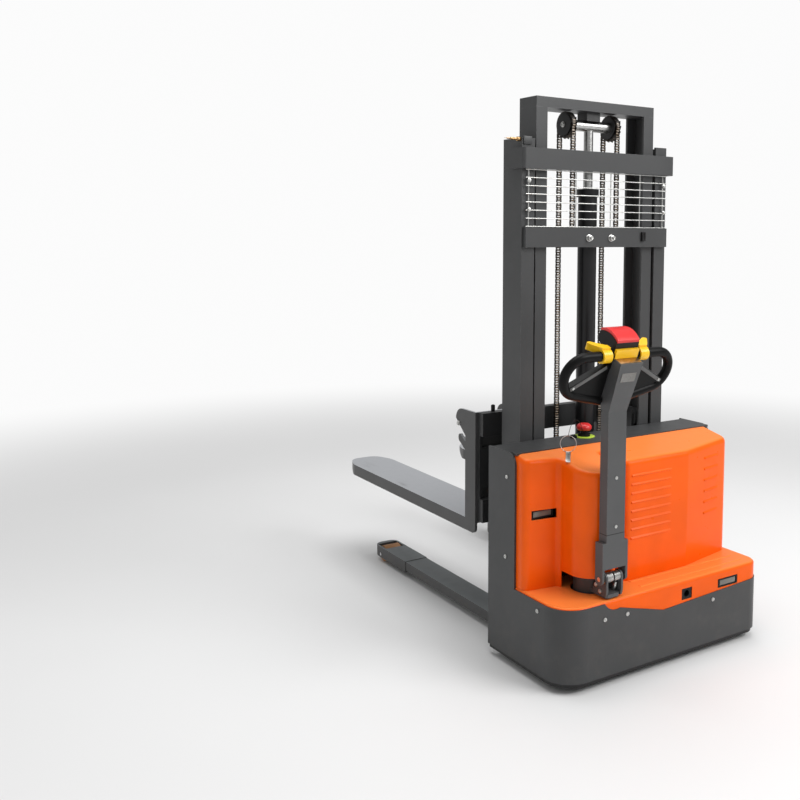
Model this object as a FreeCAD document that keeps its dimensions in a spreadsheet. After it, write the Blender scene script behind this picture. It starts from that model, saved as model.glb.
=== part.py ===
import FreeCAD, Part
import math
import operator
import os
import Sketcher

# Electric walkie stacker: a two-stage mast lifts a pair of channel forks over two straddle legs,
# a tiller steers an offset drive wheel, and a swivel caster carries the other rear corner.
# Frame: millimetres, +Z up, +Y towards the fork tips, +X to the operator's right, floor at Z = 0.

os.makedirs("parts", exist_ok=True)
document = FreeCAD.newDocument("electric_stacker")
sheet = document.addObject("Spreadsheet::Sheet", "Sizes")

OPERATIONS = {"+": operator.add, "-": operator.sub, "*": operator.mul, "/": operator.truediv}


class Size:
    """A number that remembers the spreadsheet expression it comes from."""

    def __init__(self, number, text):
        self.number = float(number)
        self.text = text

    def __add__(self, other):
        return combined(self, "+", other)

    def __radd__(self, other):
        return combined(other, "+", self)

    def __sub__(self, other):
        return combined(self, "-", other)

    def __rsub__(self, other):
        return combined(other, "-", self)

    def __mul__(self, other):
        return combined(self, "*", other)

    def __rmul__(self, other):
        return combined(other, "*", self)

    def __truediv__(self, other):
        return combined(self, "/", other)

    def __neg__(self):
        return combined(0, "-", self)


def turned(kind, angle):
    """Sine, cosine or tangent of an angle given as a size."""
    return Size(getattr(math, kind)(math.radians(angle.number)), f"{kind}({angle.text})")


def as_size(value):
    """Wrap a plain number so that it can stand in an expression."""
    if isinstance(value, Size):
        return value
    return Size(value, f"({value})")


def combined(left, sign, right):
    """Join two sizes in one expression and work out its value."""
    left = as_size(left)
    right = as_size(right)
    number = OPERATIONS[sign](left.number, right.number)
    return Size(number, f"({left.text} {sign} {right.text})")


def size(name, number):
    """Write a driving dimension into the sheet and return it."""
    size.row += 1
    sheet.set(f"A{size.row}", name)
    sheet.set(f"B{size.row}", str(number))
    sheet.setAlias(f"B{size.row}", name)
    return Size(number, f"Sizes.{name}")


size.row = 0

# ---------------------------------------------------------------- driving dimensions

# Whole machine
rear = size("rear_face_place", -905)
seam = size("seam_gap", 0.3)
running = size("running_gap", 6)

# Chassis: a bent skirt of steel plate with two tall side plates
body_width = size("body_width", 960)
frame_depth = size("frame_depth", 455)
plate = size("plate_wall", 8)
skirt_bottom = size("skirt_bottom_level", 38)
base_bottom = size("base_band_level", 22)
corner = size("rear_left_corner_radius", 105)
corner_right = size("rear_right_corner_radius", 60)
side_top = size("side_plate_level", 780)
side_rear = size("side_plate_setback", 287)
side_round = size("side_plate_round", 45)
skirt_right = size("skirt_right_level", 238)
skirt_dip = size("skirt_dip_level", 214)
skirt_dip_place = size("skirt_dip_place", -28)
skirt_rise = size("skirt_rise_level", 268)
skirt_rise_place = size("skirt_rise_place", -232)
skirt_left = size("skirt_left_level", 294)
skirt_left_place = size("skirt_left_place", -300)
deck_top = size("deck_level", 254)
deck_wall = size("deck_wall", 10)

# Orange covers
step_top = size("step_level", 300)
step_depth = size("step_depth", 286)
step_round = size("step_edge_round", 12)
crease_near = size("step_near_crease_place", 50)
crease_far = size("step_far_crease_place", 104)
crease_wide = size("step_crease_half_width", 7)
crease_rise = size("step_crease_height", 2)
crease_from = size("step_crease_start", -100)
cover_wall = size("cover_wall", 5)
cover_inset = size("cover_inset", 3)
cover_back = size("cover_back_place", 290)
cover_high = size("cover_back_level", 776)
cover_low = size("cover_nose_level", 730)
cover_side_gap = size("cover_side_gap", 8.3)
left_face = size("left_face_place", 216)
left_face_edge = size("left_face_edge_place", 236)
right_face = size("right_face_place", 114)
right_break = size("right_face_break", 190)
right_corner = size("right_corner_place", 170)
right_side = size("right_side_place", 462)
right_box_edge = size("right_box_edge", 119)
nose_radius = size("nose_radius", 88)
slot_high = size("nose_slot_height", 60)
well_radius = size("steering_well_radius", 70)
edge_round = size("cover_edge_round", 22)
post_round = size("cover_upright_round", 25)
side_post_round = size("cover_side_upright_round", 42)
nook_round = size("cover_nook_round", 20)
gully_round = size("cover_gully_round", 15)
louvre_low = size("louvre_low_level", 452)
louvre_pitch = size("louvre_pitch", 33)
louvre_rise = size("louvre_rise", 4)
louvre_deep = size("louvre_height", 9)
louvre_from = size("louvre_left_place", -89)
louvre_to = size("louvre_right_place", 104)
vent_from = size("side_louvre_start", 112)
vent_long = size("side_louvre_length", 92)
vent_low = size("side_louvre_low_level", 478)
vent_pitch = size("side_louvre_pitch", 43)
display_x = size("display_place", -446)
display_wide = size("display_width", 100)
display_z = size("display_level", 550)
display_tall = size("display_height", 34)
socket_x = size("socket_place", 62)
socket_wide = size("socket_width", 52)
socket_z = size("socket_level", 228)
socket_tall = size("socket_height", 42)
meter_x = size("gauge_place", 247)
meter_wide = size("gauge_width", 106)
meter_z = size("gauge_level", 235)
meter_tall = size("gauge_height", 34)
battery_x = size("battery_place", -385)
battery_wide = size("battery_width", 780)
battery_gap = size("battery_gap_behind_step", 9)
battery_tall = size("battery_height", 250)
stop_x = size("stop_button_place", -92)
stop_y = size("stop_button_setback", 388)
key_x = size("key_switch_place", -142)

# Steering and tiller
steer_x = size("steering_place_across", -249)
steer_y = size("steering_place_along", 148)
arm_width = size("arm_width", 80)
arm_thick = size("arm_thickness", 40)
arm_reach = size("arm_reach", 96)
shoe_width = size("shoe_width", 112)
shoe_low = size("shoe_low_level", 418)
shoe_high = size("shoe_high_level", 500)
pivot_level = size("tiller_pivot_level", 372)
pivot_radius = size("tiller_pivot_radius", 8)
bend_level = size("tiller_bend_level", 950)
head_length = size("tiller_head_length", 186)
head_lean = size("tiller_head_lean", 22)
head_half = size("tiller_head_half_width", 49)
head_deep = size("tiller_head_depth", 64)
loop_half = size("handle_half_width", 243)
loop_tube = size("handle_tube_width", 34)
loop_back = size("handle_setback", 54)
loop_low = size("handle_low_edge", 3)
loop_high = size("handle_high_edge", 208)
loop_bend = size("handle_top_bend", 70)
loop_turn = size("handle_low_bend", 74)
loop_slope = size("handle_low_slope", 14)
web_wall = size("handle_web_wall", 16)
web_in = size("handle_web_inner_level", 171)
web_out = size("handle_web_outer_level", 86)
web_rib = size("handle_web_rib", 22)
control_front = size("control_front_reach", 46)
control_back = size("control_back_reach", 140)
control_low = size("control_front_level", 54)
control_high = size("control_back_level", 56)
control_dome = size("control_dome_radius", 90)
button_half = size("button_half_width", 47)
button_thick = size("button_thickness", 10)
bar_low = size("throttle_bar_low", 1)
bar_tall = size("throttle_bar_height", 32)
bar_wall = size("throttle_bar_wall", 10)
collar_from = size("throttle_collar_start", 62)
collar_to = size("throttle_collar_end", 98)
collar_round = size("throttle_collar_radius", 24)
wing_half = size("throttle_half_width", 130)
wing_back = size("throttle_wing_setback", 104)
wing_low = size("throttle_wing_level", 198)
wing_tall = size("throttle_wing_height", 24)
pin_play = size("pin_play", 0.05)

# Wheels
drive_radius = size("drive_wheel_radius", 105)
drive_width = size("drive_wheel_width", 70)
motor_radius = size("motor_radius", 60)
motor_tall = size("motor_height", 330)
flange_wide = size("motor_flange_width", 20)
flange_thick = size("motor_flange_thickness", 12)
gearbox_half = size("gearbox_half_length", 50)
gearbox_wide = size("gearbox_width", 35)
gearbox_drop = size("gearbox_drop_below_axle", 45)
stub_radius = size("drive_stub_radius", 18)
load_radius = size("load_wheel_radius", 37)
load_width = size("load_wheel_width", 78)
axle_radius = size("load_axle_radius", 7)
caster_radius = size("caster_wheel_radius", 62)
caster_width = size("caster_wheel_width", 48)
caster_x = size("caster_place_across", 300)
caster_y = size("caster_place_along", 185)
caster_trail = size("caster_trail", 36)
caster_gap = size("caster_side_gap", 5)
caster_axle = size("caster_axle_radius", 6)

# Mast
mast_y = size("mast_centre_place", 500)
outer_half = size("outer_mast_half_width", 353)
outer_depth = size("outer_rail_depth", 120)
outer_flange = size("outer_rail_flange", 57)
rail_wall = size("rail_wall", 10)
outer_top = size("outer_mast_level", 1893)
outer_foot = size("outer_mast_foot_level", 40)
rail_gap = size("rail_side_gap", 10)
inner_depth = size("inner_rail_depth", 108)
inner_flange = size("inner_rail_flange", 50)
inner_top = size("inner_mast_level", 2048)
inner_foot = size("inner_mast_foot_level", 292)
beam_high = size("top_beam_height", 38)
inner_tie_tall = size("inner_tie_height", 60)
band_low = size("upper_band_low_level", 1782)
band_high = size("upper_band_high_level", 1857)
band_wrap = size("upper_band_wrap", 15)
band_rear = size("upper_band_place", 408)
band_round = size("upper_band_round", 13)
band_wing = size("upper_band_wing", 60)
tie_low = size("lower_band_low_level", 1498)
tie_high = size("lower_band_high_level", 1572)
tie_inset = size("lower_band_inset", 7)
tie_rear = size("lower_band_place", 422)

# Lift cylinder and chains
barrel_radius = size("barrel_radius", 37)
barrel_bore = size("barrel_bore_radius", 22)
barrel_top = size("barrel_level", 1690)
foot_plate = size("mast_foot_plate", 16)
rod_radius = size("rod_radius", 18)
rod_foot = size("rod_foot_level", 300)
sheave_radius = size("sheave_radius", 36)
sheave_wide = size("sheave_width", 30)
sheave_x = size("sheave_place", 108)
sheave_drop = size("sheave_drop", 88)
link_plate = size("chain_side_plate", 3)
shaft_radius = size("sheave_shaft_radius", 21)
rim_wall = size("sheave_rim_wall", 3)
rim_high = size("sheave_rim_height", 7)
chain_wide = size("chain_width", 22)
anchor_half = size("chain_anchor_half_width", 14)
block_half = size("head_block_half_width", 32)
block_deep = size("head_block_half_depth", 30)
chain_thick = size("chain_thickness", 12)

# Carriage and forks
carriage_rear = size("carriage_bar_place", 625)
bar_thick = size("carriage_bar_thickness", 35)
bar_half = size("carriage_bar_half_width", 397)
upper_bar_low = size("upper_bar_low_level", 770)
shelf_level = size("chain_shelf_level", 617)
upper_bar_high = size("upper_bar_high_level", 860)
lower_bar_low = size("lower_bar_low_level", 432)
lower_bar_high = size("lower_bar_high_level", 522)
fork_x = size("fork_place", 307)
fork_width = size("fork_width", 204)
fork_top = size("fork_level", 432)
fork_side = size("fork_side_height", 50)
fork_wall = size("fork_wall", 8)
fork_tip = size("fork_tip_place", 1868)
fork_nose = size("fork_nose_length", 115)
nose_under = size("fork_nose_underside", 95)
heel_round = size("fork_heel_round", 22)
shank_front = size("shank_front_place", 735)
shank_wall = size("shank_wall", 10)
ear_front = size("ear_front_place", 805)
ear_round = size("ear_round", 42)
end_plate_wide = size("carriage_end_plate_width", 100)
end_plate_low = size("carriage_end_plate_level", 560)
end_plate_round = size("carriage_end_plate_round", 88)
end_plate_wall = size("carriage_end_plate_wall", 12)
slot_gap = size("carriage_slot_height", 46)
roller_radius = size("mast_roller_radius", 39)
hook_low = size("hook_low_level", 700)
hook_high = size("hook_high_level", 758)
hook_front = size("hook_front_place", 785)

# Straddle legs
leg_x = size("leg_place", 312)
leg_width = size("leg_width", 110)
leg_low = size("leg_low_level", 22)
leg_high = size("leg_high_level", 72)
leg_tip = size("leg_tip_place", 1628)
leg_end = size("leg_end_piece_length", 312)
leg_round = size("leg_tip_round", 39)
leg_cheek = size("leg_cheek_wall", 9)
leg_toe = size("leg_toe_rise", 18)
load_y = size("load_wheel_place", 1562)

wire_radius = size("guard_wire_radius", 2)

# Rungs in each run of chain
BACK_LINKS = 14
FRONT_LINKS = 43

# Wire guard: rows of wire, and its uprights as shares of the half width
GUARD_ROWS = 8
GUARD_UPRIGHTS = (-0.95, -0.32, 0.17, 0.6, 0.95)

half_body = body_width / 2
front_y = rear + frame_depth
inner_half = outer_half - outer_flange - rail_gap
band_half = outer_half + band_wrap
tie_half = outer_half - tie_inset
sheave_z = inner_top - sheave_drop
chain_reach = sheave_radius + chain_thick / 2 + seam
shelf_top = shelf_level + 20
chain_foot = tie_high - 40
cover_end = cover_back + side_round + 4
kept_parts = []


# ---------------------------------------------------------------- drawing helpers

def numbers(*values):
    """Plain numbers of the given sizes."""
    return [as_size(value).number for value in values]


def bind(item, path, value):
    """Tie one property of an object to the sheet."""
    item.setExpression(path, as_size(value).text)


def keep(item, label):
    """Name an object as a finished sub-part."""
    item.Label = label
    kept_parts.append(item)
    return item


def place(item, x=0, y=0, z=0, turn=None):
    """Put an object at a place given by sizes, with a fixed turn."""
    if turn is None:
        turn = FreeCAD.Rotation()
    item.Placement = FreeCAD.Placement(FreeCAD.Vector(*numbers(x, y, z)), turn)
    bind(item, "Placement.Base.x", x)
    bind(item, "Placement.Base.y", y)
    bind(item, "Placement.Base.z", z)
    return item


def block(x0, x1, y0, y1, z0, z1):
    """A box between two opposite corners."""
    item = document.addObject("Part::Box", "block")
    place(item, x0, y0, z0)
    bind(item, "Length", as_size(x1) - x0)
    bind(item, "Width", as_size(y1) - y0)
    bind(item, "Height", as_size(z1) - z0)
    return item


AXIS_TURNS = {
    "x": FreeCAD.Rotation(FreeCAD.Vector(0, 1, 0), 90),
    "y": FreeCAD.Rotation(FreeCAD.Vector(1, 0, 0), -90),
    "z": FreeCAD.Rotation(),
}


def rod(axis, x, y, z, radius, length):
    """A round bar that starts at a point and runs along +X, +Y or +Z."""
    item = document.addObject("Part::Cylinder", "rod")
    place(item, x, y, z, AXIS_TURNS[axis])
    bind(item, "Radius", radius)
    bind(item, "Height", length)
    return item


def cut(base, tool):
    """The base without the tool."""
    item = document.addObject("Part::Cut", "cut")
    item.Base = base
    item.Tool = tool
    return item


def fuse(*shapes):
    """All shapes as one solid."""
    item = document.addObject("Part::MultiFuse", "fuse")
    item.Shapes = list(shapes)
    return item


def group(*shapes):
    """Shapes of one sub-part that do not touch."""
    item = document.addObject("Part::Compound", "group")
    item.Links = list(shapes)
    return item


def mirrored(base, middle=0):
    """The same piece on the other side of a plane across the machine."""
    item = document.addObject("Part::Mirroring", "mirrored")
    item.Source = base
    item.Normal = FreeCAD.Vector(1, 0, 0)
    bind(item, "Base.x", middle)
    return item


PLANE_ROLES = {"xy": "XY_Plane", "xz": "XZ_Plane", "yz": "YZ_Plane"}


def sketch_on(body, plane_name, level):
    """An empty sketch on a body's own origin plane, moved to a level along its axis."""
    sketch = body.newObject("Sketcher::SketchObject", f"{body.Name}_sketch")
    for feature in body.Origin.OriginFeatures:
        if feature.Role == PLANE_ROLES[plane_name]:
            sketch.AttachmentSupport = (feature, [""])
    sketch.MapMode = "FlatFace"
    offset = -as_size(level) if plane_name == "xz" else as_size(level)
    bind(sketch, ".AttachmentOffset.Base.z", offset)
    return sketch


def arc_between(start, end, radius):
    """The arc from start to end: counter-clockwise for a positive radius."""
    reach = abs(radius)
    middle = (start + end) / 2
    chord = end - start
    rise = math.sqrt(max(reach ** 2 - (chord.Length / 2) ** 2, 0))
    side = FreeCAD.Vector(-chord.y, chord.x, 0).normalize()
    centre = middle + side * (rise if radius > 0 else -rise)
    first, last = (start, end) if radius > 0 else (end, start)
    angles = [math.atan2(point.y - centre.y, point.x - centre.x) for point in (first, last)]
    circle = Part.Circle(centre, FreeCAD.Vector(0, 0, 1), reach)
    return Part.ArcOfCircle(circle, angles[0], angles[1])


def fix_point(sketch, point, place_sizes):
    """Hold one end of a line at a place given by sizes."""
    for kind, value in (("DistanceX", place_sizes[0]), ("DistanceY", place_sizes[1])):
        number = sketch.addConstraint(Sketcher.Constraint(kind, -1, 1, *point, as_size(value).number))
        bind(sketch, f"Constraints[{number}]", value)


def draw_outline(sketch, corners, closed=True):
    """Draw an outline. Each corner is (x, y), or (x, y, radius) when an arc leads to it."""
    points = [FreeCAD.Vector(*numbers(corner[0], corner[1]), 0) for corner in corners]
    starts = []
    ends = []
    first = corners[0]
    if not closed:
        corners = corners[1:]
        points = points[1:] + points[:1]
    for index, corner_sizes in enumerate(corners):
        before = points[index - 1]
        here = points[index]
        if len(corner_sizes) == 3:
            radius = as_size(corner_sizes[2])
            line = sketch.addGeometry(arc_between(before, here, radius.number), False)
            forward = radius.number > 0
            starts.append((line, 1 if forward else 2))
            ends.append((line, 2 if forward else 1))
        else:
            line = sketch.addGeometry(Part.LineSegment(before, here), False)
            starts.append((line, 1))
            ends.append((line, 2))
    if not closed:
        fix_point(sketch, starts[0], first)
    for index, corner_sizes in enumerate(corners):
        following = (index + 1) % len(corners)
        if closed or following > 0:
            sketch.addConstraint(Sketcher.Constraint("Coincident", *ends[index], *starts[following]))
        fix_point(sketch, ends[index], corner_sizes)
        if len(corner_sizes) == 3:
            radius = as_size(corner_sizes[2])
            reach = radius if radius.number > 0 else -radius
            number = sketch.addConstraint(Sketcher.Constraint("Radius", ends[index][0], reach.number))
            bind(sketch, f"Constraints[{number}]", reach)


def draw_circle(sketch, x, y, radius):
    """Draw a full circle."""
    centre = FreeCAD.Vector(*numbers(x, y), 0)
    circle = Part.Circle(centre, FreeCAD.Vector(0, 0, 1), as_size(radius).number)
    line = sketch.addGeometry(circle, False)
    fix_point(sketch, (line, 3), (x, y))
    number = sketch.addConstraint(Sketcher.Constraint("Radius", line, as_size(radius).number))
    bind(sketch, f"Constraints[{number}]", radius)


def new_body(name):
    """An empty PartDesign body."""
    return document.addObject("PartDesign::Body", name)


def pad(body, plane_name, outlines, start, length, circles=()):
    """Add the drawn area between two levels along the plane's axis."""
    level = as_size(start) + length if plane_name == "xz" else start
    sketch = sketch_on(body, plane_name, level)
    for outline in outlines:
        draw_outline(sketch, outline)
    for circle in circles:
        draw_circle(sketch, *circle)
    feature = body.newObject("PartDesign::Pad", "pad")
    feature.Profile = sketch
    bind(feature, "Length", length)
    document.recompute()
    return feature


def pocket(body, plane_name, outlines, start, length, circles=()):
    """Remove the drawn area between two levels along the plane's axis."""
    before = body.Shape.Volume
    level = start if plane_name == "xz" else as_size(start) + length
    sketch = sketch_on(body, plane_name, level)
    for outline in outlines:
        draw_outline(sketch, outline)
    for circle in circles:
        draw_circle(sketch, *circle)
    feature = body.newObject("PartDesign::Pocket", "pocket")
    feature.Profile = sketch
    bind(feature, "Length", length)
    document.recompute()
    if body.Shape.Volume > before - 1:
        raise ValueError(f"{body.Name}: a pocket removed nothing")
    return feature


def rounded(body, radius, chooser):
    """Round the edges of a body that the chooser accepts."""
    base = body.Tip
    names = []
    for index, edge in enumerate(base.Shape.Edges):
        if chooser(edge):
            names.append(f"Edge{index + 1}")
    feature = body.newObject("PartDesign::Fillet", "fillet")
    feature.Base = (base, names)
    bind(feature, "Radius", radius)
    document.recompute()
    return feature


def rectangle(x0, x1, y0, y1):
    """The four corners of a rectangle, counter-clockwise."""
    return [(x0, y0), (x1, y0), (x1, y1), (x0, y1)]


# ---------------------------------------------------------------- chassis

def body_outline(inset, front):
    """The machine's plan outline with rounded rear corners, drawn inside its outer face."""
    side = half_body - inset
    back = rear + inset
    bend = corner - inset
    bend_right = corner_right - inset
    return [
        (side, front),
        (-side, front),
        (-side, back + bend),
        (-side + bend, back, bend),
        (side - bend_right, back),
        (side, back + bend_right, bend_right),
    ]


def skirt_wave(lift, end_level):
    """The skirt's wavy top edge, seen from behind, closed at another level."""
    reach = half_body + plate
    return [
        (reach, end_level),
        (reach, skirt_right + lift),
        (skirt_dip_place, skirt_dip + lift),
        (skirt_rise_place, skirt_rise + lift),
        (skirt_left_place, skirt_left + lift, -60),
        (-reach, skirt_left + lift),
        (-reach, end_level),
    ]


def make_chassis():
    """Skirt, side plates and the recessed base band, bent and welded from one plate."""
    body = new_body("chassis_body")
    outer = body_outline(0, front_y)
    inner = body_outline(plate, front_y + plate)
    pad(body, "xy", [outer], skirt_bottom, side_top - skirt_bottom)
    pocket(body, "xy", [inner], skirt_bottom, side_top - skirt_bottom)
    pocket(body, "xz", [skirt_wave(0, side_top + plate)], rear - plate, side_rear + plate)
    shoulder = [
        (rear + side_rear - plate, side_top - side_round),
        (rear + side_rear, side_top - side_round),
        (rear + side_rear + side_round, side_top, -side_round),
        (rear + side_rear + side_round, side_top + plate),
        (rear + side_rear - plate, side_top + plate),
    ]
    pocket(body, "yz", [shoulder], -half_body - plate, body_width + plate * 2)
    band = body_outline(plate, front_y)
    band_inner = body_outline(plate * 2, front_y + plate)
    ring = new_body("base_band_body")
    pad(ring, "xy", [band], base_bottom, skirt_bottom - base_bottom + deck_wall)
    pocket(ring, "xy", [band_inner], base_bottom, skirt_bottom - base_bottom + deck_wall)
    keep(fuse(body, ring), "chassis_frame")


def make_deck():
    """Deck plate that carries the drive unit, the caster and the battery."""
    body = new_body("deck_body")
    front = rear + mast_y - outer_depth / 2 - plate
    pad(body, "xy", [body_outline(plate, front)], deck_top - deck_wall, deck_wall)
    notches = []
    for x, wide in ((socket_x, socket_wide), (meter_x, meter_wide)):
        notches.append(rectangle(x - 2, x + wide + 2, rear, rear + plate * 4))
    motor_hole = (steer_x, rear + steer_y, motor_radius + 2)
    pocket(body, "xy", notches, deck_top - deck_wall, deck_wall, [motor_hole])
    keep(body, "deck_plate")


def make_bulkhead():
    """Front wall of the body, which the mast rails are welded to."""
    wall = block(plate - half_body, half_body - plate, rear + mast_y - outer_depth / 2 - plate,
                 rear + mast_y - outer_depth / 2, skirt_bottom + deck_wall, side_top - plate)
    keep(wall, "front_bulkhead")


def make_shelf():
    """Grey shelf between the covers and the mast."""
    shelf = block(plate - half_body, half_body - plate, rear + cover_back + seam,
                  rear + mast_y - outer_depth / 2, side_top - plate, side_top)
    keep(shelf, "top_shelf")


def make_step_cover():
    """Low orange cover that follows the wave of the skirt."""
    body = new_body("step_cover_body")
    ribs = new_body("step_rib_body")
    top = step_top - skirt_dip
    pad(body, "xy", [body_outline(cover_inset, rear + step_depth)], skirt_dip, top)
    for middle in (crease_near, crease_far):
        crest = rear + middle
        rib = [
            (crest - crease_wide, step_top - 1), (crest + crease_wide, step_top - 1),
            (crest + crease_wide, step_top), (crest + 2, step_top + crease_rise),
            (crest - 2, step_top + crease_rise), (crest - crease_wide, step_top),
        ]
        pad(ribs, "yz", [rib], crease_from, half_body - corner_right - crease_from)
    low, back = numbers(step_top, rear + step_depth)
    rounded(body, step_round, lambda edge: edge.BoundBox.ZMin > low - 0.01 and edge.BoundBox.YMin < back - 1)
    pocket(body, "xz", [skirt_wave(seam, skirt_dip - plate)], rear - plate, step_depth + plate)
    core = new_body("step_core")
    inside = body_outline(cover_inset + cover_wall, rear + step_depth + plate)
    pad(core, "xy", [inside], skirt_dip - plate, top + plate - cover_wall)
    well = rod("z", steer_x, rear + steer_y, skirt_dip, well_radius, top + plate)
    socket_hole = block(socket_x, socket_x + socket_wide, rear - plate, rear + plate * 2,
                        socket_z, socket_z + socket_tall)
    meter_hole = block(meter_x, meter_x + meter_wide, rear - plate, rear + plate * 2,
                       meter_z, meter_z + meter_tall)
    keep(cut(fuse(body, ribs), fuse(core, well, socket_hole, meter_hole)), "step_cover")


def make_step_fittings():
    """Charging socket and battery gauge set into the step cover's rear face."""
    face = rear + cover_inset
    socket = block(socket_x + seam, socket_x + socket_wide - seam, face + 2, face + 26,
                   socket_z + seam, socket_z + socket_tall - seam)
    throat = rod("y", socket_x + socket_wide / 2, face, socket_z + socket_tall / 2, socket_tall * 0.3, 18)
    keep(cut(socket, throat), "charging_socket")
    meter = block(meter_x + seam, meter_x + meter_wide - seam, face + 2, face + 16,
                  meter_z + seam, meter_z + meter_tall - seam)
    keep(meter, "battery_gauge")


def cover_outline(inset, back):
    """Plan outline of the tall orange cover: left box, round nose, recess and right box."""
    left = cover_side_gap - half_body + inset
    right = right_side - inset
    nose = nose_radius - inset
    nose_y = rear + steer_y
    break_y = rear + right_face + inset
    return [
        (right, back),
        (left, back),
        (left, rear + left_face_edge + inset),
        (steer_x - nose, rear + left_face + inset),
        (steer_x - nose, nose_y),
        (steer_x, nose_y - nose, nose),
        (steer_x + nose, nose_y, nose),
        (steer_x + nose, rear + left_face + inset),
        (inset - right_box_edge, rear + left_face + inset),
        (inset - right_box_edge, break_y),
        (right_break, break_y),
        (right, rear + right_corner + inset),
    ]


def cover_slope(drop):
    """Everything above the cover's sloping top, seen from the side."""
    rise = cover_high - cover_low
    run = cover_back - (steer_y - nose_radius)
    low_y = rear + steer_y - nose_radius
    reach = 100
    return [
        (low_y - reach, cover_low - rise * reach / run - drop),
        (rear + cover_back + reach, cover_high + rise * reach / run - drop),
        (rear + cover_back + reach, cover_high + reach + rise),
        (low_y - reach, cover_high + reach + rise),
    ]


def near(edge, x, y):
    """Whether an upright edge stands at a place of the plan."""
    box = edge.BoundBox
    here_x, here_y = numbers(x, y)
    upright = box.ZLength > 100 and box.XLength < 1 and box.YLength < 1
    return upright and abs(box.XMin - here_x) < 1 and abs(box.YMin - here_y) < 1


def cover_form(name, inset, foot):
    """The tall cover's form with soft edges, drawn inside its outer face by an inset."""
    body = new_body(name)
    end = rear + cover_end + inset
    pad(body, "xy", [cover_outline(inset, end)], foot, cover_high - step_top + 60)
    corners = cover_outline(inset, end)
    for spots, radius in (
        ((2, 9), post_round - inset),
        ((10, 11), side_post_round - inset),
        ((3,), nook_round + inset),
        ((7, 8), gully_round + inset),
    ):
        places = [corners[spot] for spot in spots]
        rounded(body, radius, lambda edge: any(near(edge, spot[0], spot[1]) for spot in places))
    pocket(body, "yz", [cover_slope(inset)], -body_width, body_width * 2)
    back, top = numbers(rear + cover_back - inset, cover_low - 60)
    rounded(body, edge_round - inset,
            lambda edge: edge.BoundBox.ZMin > top and edge.BoundBox.YMin < back)
    under = side_top - plate - seam - inset
    shelf_room = rectangle(rear + cover_back - inset, rear + cover_end + plate * 4, under, side_top + 100)
    pocket(body, "yz", [shelf_room], -body_width, body_width * 2)
    return body


def louvres(levels, face):
    """Side outlines of pressed ribs, one above the other, that stand out of a face."""
    outlines = []
    for level in levels:
        outlines.append([
            (face + 1, level - 2), (face - louvre_rise, level), (face - louvre_rise, level + 2),
            (face + 1, level + louvre_deep),
        ])
    return outlines


def make_upper_cover():
    """Tall moulded cover with the nose over the drive motor, its louvres and the steering slot."""
    body = cover_form("cover_body", 0, step_top + seam)
    rows = [louvre_low + louvre_pitch * row for row in range(8)]
    pad(body, "yz", louvres(rows, rear + right_face), louvre_from, louvre_to - louvre_from)
    slot = rectangle(steer_x - nose_radius, -right_box_edge, rear, rear + left_face)
    pocket(body, "xy", [slot], step_top, slot_high)
    vents = new_body("side_louvre_body")
    side_rows = [vent_low + vent_pitch * row for row in range(6)]
    pad(vents, "yz", louvres(side_rows, as_size(0)), vent_from, vent_long)
    run = right_side - right_break
    rise = right_corner - right_face
    angle = Size(math.degrees(math.atan(rise.number / run.number)), f"atan({(rise / run).text})")
    turn = FreeCAD.Rotation(FreeCAD.Vector(0, 0, 1), angle.number)
    place(vents, right_break, rear + right_face, 0, turn)
    bind(vents, "Placement.Rotation.Angle", angle)
    window = block(display_x, display_x + display_wide, rear, rear + cover_back - 20,
                   display_z, display_z + display_tall)
    core = cover_form("cover_core", cover_wall, step_top - plate)
    keep(cut(fuse(body, vents), fuse(core, window)), "upper_cover")
    face = rear + left_face_edge + 2
    display = block(display_x + seam, display_x + display_wide - seam, face, face + 20,
                    display_z + seam, display_z + display_tall - seam)
    keep(display, "hour_display")


def make_stop_button():
    """Red emergency stop on the shelf, with its collar, and the key switch beside it."""
    x = stop_x
    y = rear + stop_y
    collar = rod("z", x, y, side_top, 24, 12)
    stem = rod("z", x, y, side_top + 12, 14, 14)
    switch = rod("z", key_x, y, side_top, 13, 9)
    barrel = rod("z", key_x, y, side_top + 9, 8, 3)
    keep(group(fuse(collar, stem), fuse(switch, barrel)), "stop_collar")
    body = new_body("stop_head_body")
    dome = [(0, 26), (25, 26), (29, 32), (29, 39), (18, 50, 20), (0, 53)]
    half = [(value, side_top + level, *rest) for value, level, *rest in dome]
    sketch = sketch_on(body, "xz", 0)
    draw_outline(sketch, half)
    spun = body.newObject("PartDesign::Revolution", "spun")
    spun.Profile = sketch
    spun.ReferenceAxis = (sketch, ["V_Axis"])
    spun.Angle = 360
    place(body, x, y, 0)
    keep(body, "stop_button")


def make_battery():
    """Battery pack as one plain block on the deck."""
    front = rear + mast_y - outer_depth / 2 - plate - cover_inset
    battery_far = battery_x + battery_wide
    battery_back = rear + step_depth + battery_gap
    pack = block(battery_x, battery_far, battery_back, front, deck_top, deck_top + battery_tall)
    keep(pack, "battery_pack")


# ---------------------------------------------------------------- mast

def channel(x_web, x_lip, depth, wall):
    """A C section in plan: the web is outside and the lips point to the machine's middle."""
    low = rear + mast_y - depth / 2
    high = rear + mast_y + depth / 2
    return [
        (x_web, low),
        (x_lip, low),
        (x_lip, low + wall),
        (x_web + wall, low + wall),
        (x_web + wall, high - wall),
        (x_lip, high - wall),
        (x_lip, high),
        (x_web, high),
    ]


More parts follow.
